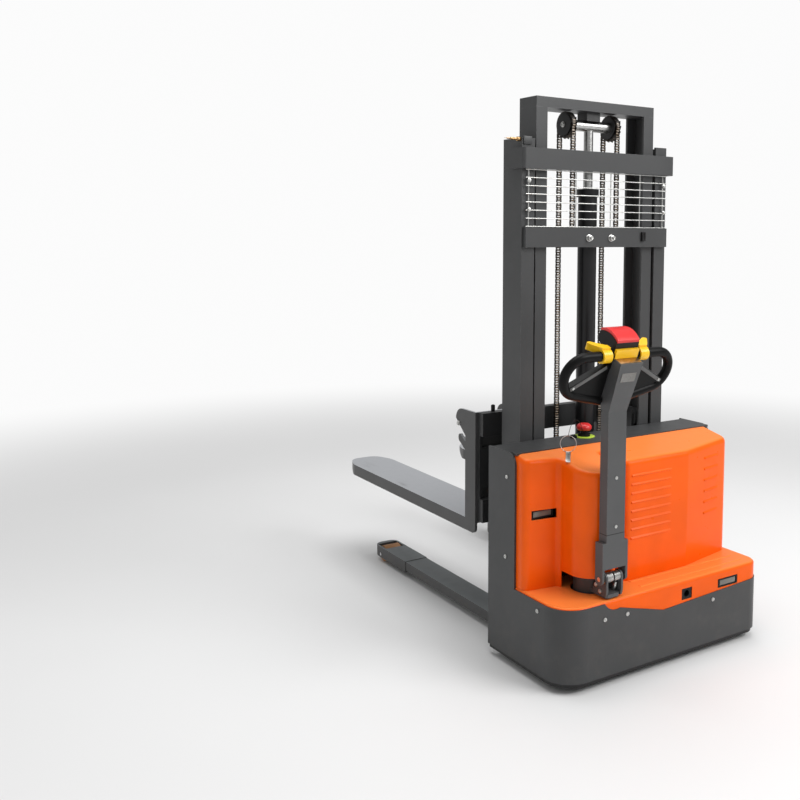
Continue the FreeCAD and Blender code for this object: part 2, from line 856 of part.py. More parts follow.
def make_outer_mast():
    """Outer rails: C channels welded to the bulkhead and standing on the legs' cross member."""
    body = new_body("outer_rail_body")
    section = channel(-outer_half, outer_flange - outer_half, outer_depth, rail_wall)
    pad(body, "xy", [section], outer_foot, outer_top - outer_foot)
    keep(body, "outer_rail_left")
    keep(mirrored(body), "outer_rail_right")
    foot = block(outer_flange - outer_half, outer_half - outer_flange,
                 rear + mast_y - outer_depth / 2, rear + mast_y + outer_depth / 2,
                 outer_foot, outer_foot + foot_plate)
    keep(foot, "mast_foot_plate")


def make_bands():
    """Two bands tie the outer rails together behind the moving mast."""
    back = rear + band_rear
    rail_back = rear + mast_y - outer_depth / 2
    wing_end = rail_back + band_wing
    wall = plate + 4
    upper = new_body("upper_band_body")
    wrap = [
        (-band_half + band_round, back), (band_half - band_round, back),
        (band_half, back + band_round, band_round),
        (band_half, wing_end), (outer_half + seam, wing_end), (outer_half + seam, back + wall),
        (-outer_half - seam, back + wall), (-outer_half - seam, wing_end),
        (-band_half, wing_end), (-band_half, back + band_round),
    ]
    wrap.append((-band_half + band_round, back, band_round))
    pad(upper, "xy", [wrap[1:]], band_low, band_high - band_low)
    keep(upper, "upper_band")
    lower = block(-tie_half, tie_half, rear + tie_rear, rail_back, tie_low, tie_high)
    keep(lower, "lower_band")


def make_mesh_guard():
    """Welded wire guard between the two bands."""
    across = rear + tie_rear + wire_radius * 3
    upright = across + wire_radius * 2 + 0.05
    wire_half = tie_half - wire_radius
    pitch = (band_low - tie_high - wire_radius * 2) / (GUARD_ROWS - 1)
    wires = []
    for row in range(GUARD_ROWS):
        level = tie_high + wire_radius + pitch * row
        wires.append(rod("x", -wire_half, across, level, wire_radius, wire_half * 2))
    for share in GUARD_UPRIGHTS:
        wires.append(rod("z", tie_half * share, upright, tie_high, wire_radius, band_low - tie_high))
    keep(group(*wires), "mesh_guard")


def make_cylinder():
    """Lift cylinder: a hollow barrel with a gland that the rod runs through."""
    floor = outer_foot + foot_plate
    barrel = rod("z", 0, rear + mast_y, floor, barrel_radius, barrel_top - floor)
    bore = rod("z", 0, rear + mast_y, floor + 12, barrel_bore, barrel_top - floor)
    keep(cut(barrel, bore), "cylinder_barrel")
    cap = rod("z", 0, rear + mast_y, barrel_top, barrel_radius + 6, 30)
    gland = rod("z", 0, rear + mast_y, barrel_top, rod_radius + seam, 30)
    keep(cut(cap, gland), "cylinder_cap")


def make_inner_mast():
    """Inner rails and top beam, which the rod pushes up."""
    body = new_body("inner_rail_body")
    section = channel(-inner_half, inner_flange - inner_half, inner_depth, rail_wall)
    pad(body, "xy", [section], inner_foot, inner_top - beam_high - inner_foot)
    other = mirrored(body)
    beam = block(-inner_half, inner_half, rear + mast_y - inner_depth / 2, rear + mast_y + inner_depth / 2,
                 inner_top - beam_high, inner_top)
    keep(body, "inner_rail_left")
    keep(other, "inner_rail_right")
    keep(beam, "top_beam")
    lip = inner_half - inner_flange
    back = rear + mast_y - inner_depth / 2
    tie = block(-lip, lip, back, back + rail_wall, inner_foot, inner_foot + inner_tie_tall)
    keep(tie, "inner_tie")


def make_lift_head():
    """Rod, cross shaft, block and the two grooved chain sheaves on top of the rod."""
    shaft_low = sheave_z - shaft_radius
    piston = rod("z", 0, rear + mast_y, rod_foot, rod_radius, shaft_low - rod_foot + 4)
    shaft = rod("x", sheave_wide / 2 - sheave_x, rear + mast_y, sheave_z, shaft_radius,
                sheave_x * 2 - sheave_wide)
    head_back = rear + mast_y - block_deep
    head = block(-block_half, block_half, head_back, head_back + block_deep * 2,
                 sheave_z + shaft_radius - 4, inner_top - beam_high)
    keep(fuse(piston, shaft, head), "piston_rod")
    wheels = []
    for side in (-1, 1):
        middle = sheave_x * side
        barrel = rod("x", middle - sheave_wide / 2, rear + mast_y, sheave_z, sheave_radius, sheave_wide)
        rims = []
        for low_x in (middle - sheave_wide / 2, middle + sheave_wide / 2 - rim_wall):
            rims.append(rod("x", low_x, rear + mast_y, sheave_z, sheave_radius + rim_high, rim_wall))
        wheels.append(fuse(barrel, *rims))
    keep(group(*wheels), "chain_sheaves")


def chain_strand(x, y, low, high, count):
    """A straight run of leaf chain: two side plates joined by rungs at each pin."""
    half = chain_wide / 2
    parts = []
    for low_x in (x - half, x + half - link_plate):
        parts.append(block(low_x, low_x + link_plate, y - chain_thick / 2, y + chain_thick / 2, low, high))
    step = (as_size(high) - low) / count
    for rung in range(count):
        level = low + step * (rung + 0.5) - step / 4
        parts.append(block(x - half + link_plate / 2, x + half - link_plate / 2, y - chain_thick / 2 + 1,
                           y + chain_thick / 2 - 1, level, level + step / 2))
    return fuse(*parts)


def make_chains():
    """Leaf chains from the lower band over the sheaves to the carriage."""
    wraps = []
    for name, side in (("left", -1), ("right", 1)):
        x = sheave_x * side
        back = chain_strand(x, rear + mast_y - chain_reach, chain_foot, sheave_z - seam, BACK_LINKS)
        front = chain_strand(x, rear + mast_y + chain_reach, shelf_top, sheave_z - seam, FRONT_LINKS)
        keep(back, f"chain_back_{name}")
        keep(front, f"chain_front_{name}")
        outer_radius = chain_reach + chain_thick / 2
        outer = rod("x", x - chain_wide / 2, rear + mast_y, sheave_z, outer_radius, chain_wide)
        inner = rod("x", x - chain_wide / 2 - 1, rear + mast_y, sheave_z, chain_reach - chain_thick / 2,
                    chain_wide + 2)
        lower = block(x - chain_wide, x + chain_wide, rear + mast_y - chain_reach * 2,
                      rear + mast_y + chain_reach * 2, sheave_z - chain_reach * 2, sheave_z)
        wraps.append(cut(cut(outer, inner), lower))
        anchor_front = rear + mast_y - chain_reach + chain_thick
        anchor = block(x - anchor_half, x + anchor_half, rear + mast_y - outer_depth / 2, anchor_front,
                       chain_foot - 18, chain_foot)
        keep(anchor, f"chain_anchor_{name}")
    keep(group(*wraps), "chain_wraps")


# ---------------------------------------------------------------- carriage, forks and legs

def make_carriage():
    """Fork carriage: two cross bars, end plates, roller plates with rollers and the chain shelf."""
    back = rear + carriage_rear
    upper = block(-bar_half, bar_half, back, back + bar_thick, upper_bar_low, upper_bar_high)
    lower = block(-bar_half, bar_half, back, back + bar_thick, lower_bar_low, lower_bar_high)
    parts = [upper, lower]
    end_plate = new_body("carriage_end_body")
    inner_x = bar_half - end_plate_wide
    shape = [
        (-bar_half, end_plate_low), (-bar_half + end_plate_round, end_plate_low),
        (-inner_x, end_plate_low + end_plate_round, end_plate_round),
        (-inner_x, upper_bar_low - slot_gap), (-bar_half, upper_bar_low - slot_gap),
    ]
    pad(end_plate, "xz", [shape], back + bar_thick - end_plate_wall, end_plate_wall)
    spine = block(-bar_half, -bar_half + end_plate_wall, back + bar_thick - end_plate_wall, back + bar_thick,
                  lower_bar_low, upper_bar_high)
    parts.append(end_plate)
    parts.append(mirrored(end_plate))
    parts.append(spine)
    parts.append(mirrored(spine))
    plate_x = inner_half - inner_flange - running
    for side in (-1, 1):
        outer_x = plate_x * side
        low_x = outer_x - plate if side > 0 else outer_x
        parts.append(block(low_x, low_x + plate, rear + mast_y - 25, back + 2, lower_bar_low + 20,
                           upper_bar_high - 10))
        stub_x = outer_x if side > 0 else outer_x - inner_flange + rail_wall
        for level in (lower_bar_low + 70, upper_bar_high - 60):
            parts.append(rod("x", stub_x, rear + mast_y, level, roller_radius, inner_flange - rail_wall))
    shelf_x = plate_x - plate
    near_y = rear + mast_y + barrel_radius + 13
    parts.append(block(-shelf_x, shelf_x, near_y, back + 2, shelf_level, shelf_top))
    for side in (-1, 1):
        x = sheave_x * side
        seat_back = rear + mast_y + chain_reach - chain_thick
        parts.append(block(x - anchor_half, x + anchor_half, seat_back, near_y + 7, shelf_level, shelf_top))
    keep(fuse(*parts), "fork_carriage")


def make_forks():
    """Channel forks with a rounded nose and a shank that hooks over the carriage bars."""
    for name, side in (("left", -1), ("right", 1)):
        x0 = fork_x * side - fork_width / 2
        x1 = fork_x * side + fork_width / 2
        back = rear + carriage_rear + bar_thick
        tip = rear + fork_tip
        low = fork_top - fork_side
        body = new_body(f"fork_body_{name}")
        plan = [
            (x0, back), (x1, back), (x1, tip - fork_nose),
            (x1 - fork_width / 7, tip - fork_nose / 4, 300), (x1 - fork_width * 0.36, tip, 62),
            (x0 + fork_width * 0.36, tip), (x0 + fork_width / 7, tip - fork_nose / 4, 62),
            (x0, tip - fork_nose, 300),
        ]
        pad(body, "xy", [plan], low, fork_side)
        hollow = rectangle(x0 + fork_wall, x1 - fork_wall, back - plate, tip - fork_nose - 30)
        pocket(body, "xy", [hollow], low, fork_side - fork_wall)
        nose = [(tip - nose_under, low - 1), (tip + 10, low - 1), (tip + 10, fork_top - 8)]
        pocket(body, "yz", [nose], x0 - 10, fork_width + 20)
        shank = [
            (back, low + heel_round), (back + heel_round, low, heel_round), (rear + shank_front, low),
            (rear + shank_front, hook_low), (rear + hook_front - 8, hook_high - 30),
            (rear + hook_front, hook_high - 14, 14), (rear + hook_front - 15, hook_high, 12),
            (rear + shank_front, hook_low + 34), (rear + shank_front, upper_bar_low - 12),
            (rear + ear_front, upper_bar_high - ear_round),
            (rear + ear_front - ear_round, upper_bar_high, ear_round), (back, upper_bar_high),
        ]
        heel_cut = [
            (back - 1, low - 1), (back + heel_round, low - 1), (back + heel_round, low),
            (back, low + heel_round, -heel_round), (back - 1, low + heel_round),
        ]
        pocket(body, "yz", [heel_cut], x0 - 1, fork_width + 2)
        pad(body, "yz", [shank], x0, shank_wall)
        pad(body, "yz", [shank], x1 - shank_wall, shank_wall)
        heel = rectangle(back, back + shank_wall, fork_top - fork_wall, upper_bar_high)
        pad(body, "yz", [heel], x0 + 1, fork_width - 2)
        keep(body, f"fork_{name}")


def make_legs():
    """Straddle legs, each with a deeper end piece that wraps round its load wheel."""
    for name, side in (("left", -1), ("right", 1)):
        middle = leg_x * side
        x0 = middle - leg_width / 2
        x1 = middle + leg_width / 2
        body = new_body(f"leg_body_{name}")
        back = rear + mast_y + outer_depth / 2
        tip = rear + leg_tip
        joint_y = tip - leg_end
        bar = rectangle(x0 + 2, x1 - 2, back, joint_y + 4)
        pad(body, "xy", [bar], leg_low + 8, leg_high - leg_low - 10)
        plan = [
            (x0, joint_y), (x1, joint_y), (x1, tip - leg_round), (x1 - leg_round, tip, leg_round),
            (x0 + leg_round, tip), (x0, tip - leg_round, leg_round),
        ]
        pad(body, "xy", [plan], leg_low, leg_high - leg_low)
        toe = [(tip - leg_round, leg_low - 1), (tip + 1, leg_low - 1), (tip + 1, leg_low + leg_toe)]
        pocket(body, "yz", [toe], x0 - 1, leg_width + 2)
        wheel_slot = rectangle(x0 + leg_cheek, x1 - leg_cheek, rear + load_y - 41,
                               rear + load_y + 41)
        pocket(body, "xy", [wheel_slot], leg_low - 1, leg_high - leg_low + 2)
        pocket(body, "yz", [], x0, leg_width, [(rear + load_y, load_radius, axle_radius + pin_play)])
        keep(body, f"leg_{name}")
        axle = rod("x", x0, rear + load_y, load_radius, axle_radius, leg_width)
        keep(axle, f"load_axle_{name}")
        tyre = rod("x", middle - load_width / 2, rear + load_y, load_radius, load_radius, load_width)
        bore_radius = axle_radius + pin_play
        bore = rod("x", middle - load_width / 2, rear + load_y, load_radius, bore_radius, load_width)
        keep(cut(tyre, bore), f"load_wheel_{name}")


# ---------------------------------------------------------------- steering, tiller and rear wheels

def make_drive():
    """Drive unit: motor and gearbox turn with the wheel under the nose."""
    x = steer_x
    y = rear + steer_y
    motor = rod("z", x, y, deck_top + 2, motor_radius, motor_tall)
    under = deck_top - deck_wall - seam
    collar = rod("z", x, y, under - 2, motor_radius - 5, deck_wall + 6)
    flange = rod("z", x, y, under - flange_thick, motor_radius + flange_wide, flange_thick)
    cheek_x = x + drive_width / 2 + 8
    gearbox_low = drive_radius - gearbox_drop
    gearbox = block(cheek_x, cheek_x + gearbox_wide, y - gearbox_half, y + gearbox_half, gearbox_low,
                    under - 4)
    stub = rod("x", x - drive_width / 2, y, drive_radius, stub_radius, drive_width + 10)
    keep(fuse(motor, collar, flange, gearbox, stub), "drive_unit")
    tyre = rod("x", x - drive_width / 2, y, drive_radius, drive_radius, drive_width)
    bore = rod("x", x - drive_width / 2, y, drive_radius, stub_radius + pin_play, drive_width)
    keep(cut(tyre, bore), "drive_wheel")


def make_caster():
    """Swivel caster under the deck's right rear corner."""
    x = caster_x
    y = rear + caster_y
    under = deck_top - deck_wall
    mount = block(x - 50, x + 50, y - 50, y + 50, under - 8, under)
    race = rod("z", x, y, under - 20, 28, 14)
    keep(fuse(mount, race), "caster_mount")
    crown = under - 20 - seam
    cheek = caster_width / 2 + caster_gap
    wheel_y = y - caster_trail
    parts = [block(x - cheek - 6, x + cheek + 6, wheel_y - 24, y + 28, crown - 8, crown)]
    for low_x in (x - cheek - 6, x + cheek):
        parts.append(block(low_x, low_x + 6, wheel_y - 24, wheel_y + 24, caster_radius - 16, crown - 4))
    axle = rod("x", x - cheek - 6, wheel_y, caster_radius, caster_axle, cheek * 2 + 12)
    keep(fuse(*parts, axle), "caster_fork")
    tyre = rod("x", x - caster_width / 2, wheel_y, caster_radius, caster_radius, caster_width)
    bore = rod("x", x - caster_width / 2, wheel_y, caster_radius, caster_axle + pin_play, caster_width)
    keep(cut(tyre, bore), "caster_wheel")


def make_steering_bracket():
    """Bracket that reaches through the nose slot and carries the tiller pivot."""
    x = steer_x
    y = rear + steer_y
    front = y - arm_reach
    back = front - arm_thick
    low = step_top + running
    half = shoe_width / 2 - 19
    motor_face = y - motor_radius - 2
    base = new_body("bracket_base_body")
    plan = [
        (x - half, back + 8), (x - half + 8, back), (x + half - 20, back), (x + half, back + 20),
        (x + half, motor_face), (x + 30, y), (x - 30, y), (x - half, motor_face),
    ]
    pad(base, "xy", [plan], low, 12)
    ears = new_body("bracket_ear_body")
    outline = [
        (back + 6, low), (motor_face, low), (motor_face, low + 24), (front, low + 48), (front, pivot_level),
        (front - arm_thick / 2, pivot_level + arm_thick / 2, arm_thick / 2),
        (back, pivot_level, arm_thick / 2), (back, low + 20),
    ]
    pad(ears, "yz", [outline], x - half, plate)
    other = mirrored(ears, x)
    motor_room = rod("z", x, y, low - 1, motor_radius + seam, 40)
    hole_radius = pivot_radius + pin_play
    hole = rod("x", x - shoe_width / 2, back + arm_thick / 2, pivot_level, hole_radius, shoe_width)
    keep(cut(cut(fuse(base, ears, other), motor_room), hole), "steering_bracket")


def lean(item):
    """Stand a piece on the tiller's bend, tilted with the head towards the operator."""
    back = rear + steer_y - arm_reach - arm_thick
    turn = FreeCAD.Rotation(FreeCAD.Vector(1, 0, 0), head_lean.number)
    place(item, steer_x, back, bend_level, turn)
    bind(item, "Placement.Rotation.Angle", head_lean)
    return item


def make_tiller_arm():
    """Tiller arm with its widened shoe, pivot cheeks and leaning head that widens upwards."""
    x = steer_x
    front = rear + steer_y - arm_reach
    back = front - arm_thick
    arm = block(x - arm_width / 2, x + arm_width / 2, back, front, shoe_high - 2, bend_level)
    shoe_body = new_body("shoe_body")
    shoe = [
        (x - shoe_width / 2, shoe_low), (x - shoe_width / 2 + 10, shoe_low - 10),
        (x + shoe_width / 2 - 10, shoe_low - 10),
        (x + shoe_width / 2, shoe_low), (x + shoe_width / 2, shoe_high), (x - shoe_width / 2, shoe_high),
    ]
    pad(shoe_body, "xz", [shoe], back, arm_thick)
    cheeks = []
    for low_x in (x - shoe_width / 2, x + shoe_width / 2 - 9):
        cheeks.append(block(low_x, low_x + 9, back, front, pivot_level, shoe_low + 2))
        cheeks.append(rod("x", low_x, back + arm_thick / 2, pivot_level, arm_thick / 2, 9))
    head_body = new_body("head_body")
    mitre = arm_thick * turned("tan", head_lean / 2)
    side = [
        (0, -4), (arm_thick - 1, -mitre - 4), (arm_thick, -mitre), (head_deep, 30), (head_deep, head_length),
        (0, head_length),
    ]
    pad(head_body, "yz", [side], -head_half, head_half * 2)
    for sign in (-1, 1):
        wedge = [
            (arm_width / 2 * sign, -60), ((head_half + 10) * sign, -60),
            ((head_half + 10) * sign, head_length + 1), (head_half * sign, head_length + 1),
            (arm_width / 2 * sign, 0),
        ]
        pocket(head_body, "xz", [wedge], -1, head_deep + 2)
    lean(head_body)
    hole_radius = pivot_radius + pin_play
    hole = rod("x", x - shoe_width, back + arm_thick / 2, pivot_level, hole_radius, shoe_width * 2)
    keep(cut(fuse(arm, shoe_body, *cheeks, head_body), hole), "tiller_arm")
    pin = rod("x", x - shoe_width / 2, back + arm_thick / 2, pivot_level, pivot_radius, shoe_width)
    keep(pin, "tiller_pin")


def make_handle():
    """Loop handle: a round tube bent to a D on each side, with a thin web and its rib."""
    radius = loop_tube / 2
    root = head_half + seam
    far = loop_half - radius
    high = loop_high - radius
    low = loop_low + radius
    sine = turned("sin", loop_slope)
    cosine = turned("cos", loop_slope)
    turn_x = far - loop_turn
    turn_z = low + (loop_turn + (turn_x - root) * sine) / cosine
    body = new_body("handle_body")
    path = sketch_on(body, "xz", loop_back)
    draw_outline(path, [
        (root, high), (far - loop_bend, high), (far, high - loop_bend, -loop_bend), (far, turn_z),
        (turn_x + loop_turn * sine, turn_z - loop_turn * cosine, -loop_turn), (root, low),
    ], closed=False)
    ring = sketch_on(body, "yz", root)
    draw_circle(ring, loop_back, high, radius)
    tube = body.newObject("PartDesign::AdditivePipe", "tube")
    tube.Profile = ring
    tube.Spine = (path, [])
    document.recompute()
    web = [
        (root, low), (turn_x + loop_turn * sine, turn_z - loop_turn * cosine),
        (far - 2, turn_z - 6, loop_turn),
        (far - radius - 2, web_out), (root, web_in - 2),
    ]
    pad(body, "xz", [web], loop_back - web_wall / 2, web_wall)
    rib = [
        (root, web_in - web_rib), (far - radius - 8, web_out - web_rib),
        (far - radius - 2, web_out), (root, web_in),
    ]
    pad(body, "xz", [rib], loop_back - web_wall / 2 - 4, web_wall + 8)
    lean(body)
    keep(body, "handle_right")
    keep(mirrored(body, steer_x), "handle_left")


def make_controls():
    """Control head with its throttle paddles and the belly button that stops the machine."""
    base = head_length + seam
    dome_low = base + control_low
    dome_high = base + control_high
    shell = new_body("control_body")
    side = [
        (control_front, base), (head_deep, base), (control_back, base + 22), (control_back, dome_high),
        (control_front, dome_low, control_dome),
    ]
    pad(shell, "yz", [side], -head_half, head_half * 2)
    lean(shell)
    keep(shell, "control_head")
    button = new_body("button_body")
    gap = 0.5
    slab = [
        (control_front, dome_low + gap), (control_back, dome_high + gap, -control_dome),
        (control_back, dome_high + button_thick), (control_front, dome_low + button_thick, control_dome),
    ]
    pad(button, "yz", [slab], -button_half, button_half * 2)
    lean(button)
    keep(button, "belly_button")
    bar_body = new_body("throttle_bar_body")
    bar = [
        (-head_half, base + bar_low), (head_half, base + bar_low),
        (head_half, base + bar_low + bar_tall), (-head_half, base + bar_low + bar_tall),
    ]
    pad(bar_body, "xz", [bar], control_front - seam - bar_wall, bar_wall)
    lean(bar_body)
    axis_z = loop_high - loop_tube / 2
    paddle = new_body("paddle_body")
    pad(paddle, "yz", [], collar_from, collar_to - collar_from, [(loop_back, axis_z, collar_round)])
    wing = [
        (collar_from, loop_back), (collar_to, loop_back), (wing_half, wing_back - 10),
        (wing_half - 6, wing_back, 7), (wing_half - 16, wing_back, 12),
        (collar_from + 14, loop_back + collar_round), (collar_from, loop_back + collar_round - 6),
    ]
    pad(paddle, "xy", [wing], wing_low, wing_tall)
    pocket(paddle, "yz", [], collar_from - 1, wing_half, [(loop_back, axis_z, loop_tube / 2 + seam)])
    lean(paddle)
    keep(group(bar_body, paddle, mirrored(paddle, steer_x)), "throttle")


make_chassis()
make_deck()
make_bulkhead()
make_shelf()
make_step_cover()
make_upper_cover()
make_stop_button()
make_step_fittings()
make_battery()
make_outer_mast()
make_bands()
make_mesh_guard()
make_cylinder()
make_inner_mast()
make_lift_head()
make_chains()
make_carriage()
make_forks()
make_legs()
make_drive()
make_caster()
make_steering_bracket()
make_tiller_arm()
make_handle()
make_controls()


# ---------------------------------------------------------------- check and export

def export_parts():
    """Check every object and write each sub-part to its STEP file."""
    document.recompute()
    for item in document.Objects:
        if "Invalid" in item.State or "Error" in item.State:
            raise ValueError(f"{item.Label} failed: {item.State}")
    for item in kept_parts:
        shape = item.Shape
        if shape.isNull() or not shape.isValid() or shape.Volume <= 0:
            raise ValueError(f"{item.Label} has no valid solid")
    for item in kept_parts:
        item.Shape.exportStep(f"parts/{item.Label}.step")
        print(item.Label, len(item.Shape.Solids), round(item.Shape.Volume / 1000, 1))


export_parts()
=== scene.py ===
import math

import bpy
from mathutils import Matrix, Vector


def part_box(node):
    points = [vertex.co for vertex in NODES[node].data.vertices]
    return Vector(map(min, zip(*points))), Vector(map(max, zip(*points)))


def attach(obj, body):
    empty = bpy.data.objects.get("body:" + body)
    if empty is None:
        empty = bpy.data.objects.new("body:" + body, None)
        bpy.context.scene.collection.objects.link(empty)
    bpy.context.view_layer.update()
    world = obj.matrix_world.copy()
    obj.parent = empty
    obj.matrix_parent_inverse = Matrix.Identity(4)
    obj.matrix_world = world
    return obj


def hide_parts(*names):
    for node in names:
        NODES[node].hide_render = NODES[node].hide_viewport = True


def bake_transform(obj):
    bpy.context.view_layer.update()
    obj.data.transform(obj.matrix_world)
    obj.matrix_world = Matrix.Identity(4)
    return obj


bl_info = {
    "name": "Electric stacker",
    "version": (1, 0, 0),
    "blender": (4, 5, 0),
    "location": "3D View > Sidebar > Stacker",
    "description": "Dresses the packed electric stacker with materials and small parts",
    "category": "Object",
}

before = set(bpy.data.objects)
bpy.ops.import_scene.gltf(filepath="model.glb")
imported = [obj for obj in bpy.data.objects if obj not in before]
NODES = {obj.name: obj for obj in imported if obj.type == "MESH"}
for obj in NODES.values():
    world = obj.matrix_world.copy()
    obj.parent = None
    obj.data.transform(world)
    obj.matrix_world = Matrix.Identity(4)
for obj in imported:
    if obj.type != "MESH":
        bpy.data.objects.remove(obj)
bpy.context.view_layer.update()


# ---------------------------------------------------------------- sizes and colours

def colour(name, about, value):
    """A colour that a user may change."""
    return bpy.props.FloatVectorProperty(name=name, description=about, subtype="COLOR", size=3,
                                         min=0.0, max=1.0, default=value)


def length(name, about, value):
    """A length in metres that a user may change."""
    return bpy.props.FloatProperty(name=name, description=about, unit="LENGTH", min=0.0001, default=value)


class StackerColours(bpy.types.PropertyGroup):
    """Colours of the finishes."""

    orange: colour("Cover orange", "Paint of the moulded covers", (0.90, 0.112, 0.002))
    # painted sheen: paler orange given to the covers' upward faces, standing in for the light that their
    # tops reflect
    cover_sheen: colour("Cover top", "Upward faces of the covers", (0.92, 0.225, 0.045))
    grey: colour("Frame grey", "Paint of the mast, the skirt and the tiller", (0.048, 0.049, 0.050))
    fork: colour("Fork grey", "Paint of the forks and legs", (0.060, 0.060, 0.060))
    black: colour("Plastic black", "Handle, displays and switches", (0.012, 0.012, 0.012))
    red: colour("Button red", "Stop button and belly button", (0.62, 0.02, 0.02))
    yellow: colour("Throttle yellow", "Throttle wings", (0.86, 0.50, 0.01))
    tan: colour("Roller tan", "Polyurethane of the load rollers", (0.42, 0.20, 0.08))
    lime: colour("Ring lime", "Ring under the stop button", (0.45, 0.62, 0.05))
    brass: colour("Brass", "Bleed fitting and the strip on the tiller's end", (0.48, 0.30, 0.14))
    screen: colour("Screen grey", "Windows of the displays", (0.16, 0.15, 0.13))
    floor: colour("Floor", "Studio floor", (0.78, 0.78, 0.78))
    backdrop: colour("Backdrop", "What the camera sees behind the machine", (0.97, 0.97, 0.97))


class StackerSizes(bpy.types.PropertyGroup):
    """Sizes of the small parts and the strength of the lights."""

    screw_radius: length("Screw radius", "Radius of the cover screws", 0.0075)
    stud_radius: length("Stud radius", "Radius of the clamp studs on the lower band", 0.011)
    ring_radius: length("Key ring radius", "Radius of the key ring", 0.029)
    wire: length("Key wire", "Diameter of the key's wire", 0.002)
    wire_length: length("Key wire length", "Length of the key's wire", 0.25)
    link_pitch: length("Chain pitch", "Pitch of the lift chains", 0.009525)
    roller_radius: length("Chain roller radius", "Radius of the chain's rollers", 0.0036)
    strip_wall: length("Strip thickness", "Thickness of plates and strips", 0.0012)
    key: bpy.props.FloatProperty(name="Key light", description="Power of the main softbox in watts",
                                 min=0.0, default=200.0)
    sky: bpy.props.FloatProperty(name="Room light", description="Strength of the light from all round",
                                 min=0.0, default=0.42)


# ---------------------------------------------------------------- places
# Metres in the frame, for small parts whose place no node's box gives.

SKIRT_DARK_LEVEL = 0.036               # below this level the skirt is black
ARM_JOINT = 0.528               # level of the joint line across the tiller arm
SKIRT_SCREWS = ((-0.301, 0.241), (-0.200, 0.239), (0.219, 0.200))    # x and z on the skirt's rear
SIDE_SCREWS = ((-0.569, 0.689), (-0.563, 0.398), (-0.760, 0.263))    # y and z on both side plates
ARM_SCREWS = ((-0.250, 0.723), (-0.249, 0.5535))                     # x and z on the tiller arm
CLAMP_STUDS = (-0.0535, 0.0553)                                      # x on the lower band
CLIP_X = 0.2175
MESH_BOLT_LEVELS = (1.635, 1.740)
MESH_BOLT_INSET = 0.014
BLEED_FITTING = (-0.451, 1.888)                                      # y and z on the left rail
FITTING_PLATE = (-0.330, 1.884)                                      # x and z on the left rail
FORK_PIN = (-0.1226, 0.7993)                                         # y and z on the fork's plate
FORK_KNOB = (0.3328, -0.2516, 0.86)

ARM_X = -0.249
ARM_BACK = -0.893               # rear face of the tiller arm
ARM_BEND = 0.950                # level at which the tiller's head begins to lean
HEAD_LEAN = (0.93, 0.37)        # rearward and downward parts of the way that the head faces
HEAD_LENGTH = 0.186
HEAD_MIDDLE = 0.024             # from the head's rear face to the middle of its thickness
NAME_PLATE = (-0.9485, 1.0874)  # y and z of a point on the head's rear face
NAME_PLATE_DROP = 0.014
WEB_FACE = 0.0423               # from the head's rear face to the web between the grips
STRIP_INNER = (0.066, 0.155)    # outward, and along the head
STRIP_OUTER = (0.198, 0.080)
BRACKET_BOLTS = ((0.012, -0.048), (0.034, -0.030))                   # y and z from the tiller's pin
STOP_BOLT = (0.020, 0.010, -0.052)                                   # from the tiller's pin

STOP_RING = 0.041               # radius of the ring under the stop button
HOOK = (-0.016, -0.012, 0.010)              # from the stop button's foot to where the key's wire leaves
KEY_REST = (-0.273, -0.6535, 0.7697)        # where the key ring stands on the cover
KEY_MIDDLE = (-0.0287, -0.0371, -0.0085)    # from there to the middle of the key
KEY_TURN = -0.656
COVER_SLOPE = (0, -0.204, 1)                # the way that the cover's top faces
RING_FACES = (-0.55, -0.80, 0.10)

REARWARD = (0, -1, 0)
LEFT = (-1, 0, 0)
RIGHT = (1, 0, 0)
UP = (0, 0, 1)
ALIGNED = 0.9                   # least part of a normal along an axis that counts as facing it

# Turned parts: radius, depth, then the inset and lift of each step on the top face, and the sides.
MESH_BOLT = (0.008, 0.004, [(0.003, 0.005)], 14)
SHEAVE_BOLT = (0.011, 0.003, [(0.003, 0.004), (0.0035, -0.003)], 18)
BLEED_SCREW = (0.0085, 0.010, [(0.0, 0.004), (0.003, 0.018), (-0.0015, 0.010), (0.002, 0.016),
                               (0.0015, 0.010)], 6)
PIN_HEAD = (0.010, 0.003, [(0.0025, 0.004), (0.003, -0.002)], 18)
KNOB = (0.008, 0.012, [(-0.004, 0.0), (0.0, 0.012), (0.004, 0.002)], 18)
GRIP_SCREW = (0.0045, 0.0012, [(0.001, 0.001), (0.0015, -0.001)], 14)
HEX_BOLT = (0.0085, 0.004, [(0.002, 0.003), (0.003, -0.002)], 6)
LONG_BOLT = (0.0065, 0.020, [(0.0015, 0.010), (0.001, 0.003)], 14)

# Flat parts: width, height and thickness.
CLIP = (0.018, 0.036, 0.009)
FITTING_SEAT = (0.036, 0.030, 0.005)
KEY = (0.017, 0.094, 0.0022)
KEY_TAPER = 0.55
NAME_PLATE_FACE = (0.062, 0.034)
END_STRIP_FACE = (0.090, 0.040)
GRIP_STRIP_EDGE = (0.013, 0.003)

EDGE = 0.0008                   # bevels of small parts
FINE_EDGE = 0.0006
KEY_RING_WIRE = 0.0012
SPRING = (0.0155, 0.0022)       # radius of a coil and of its wire
SPRING_STEP = 0.0052            # from coil to coil
SPRING_REACH = 0.021            # from the arm's middle to the middle of a spring
SPRING_COILS = range(-3, 4)


# ---------------------------------------------------------------- shader helpers

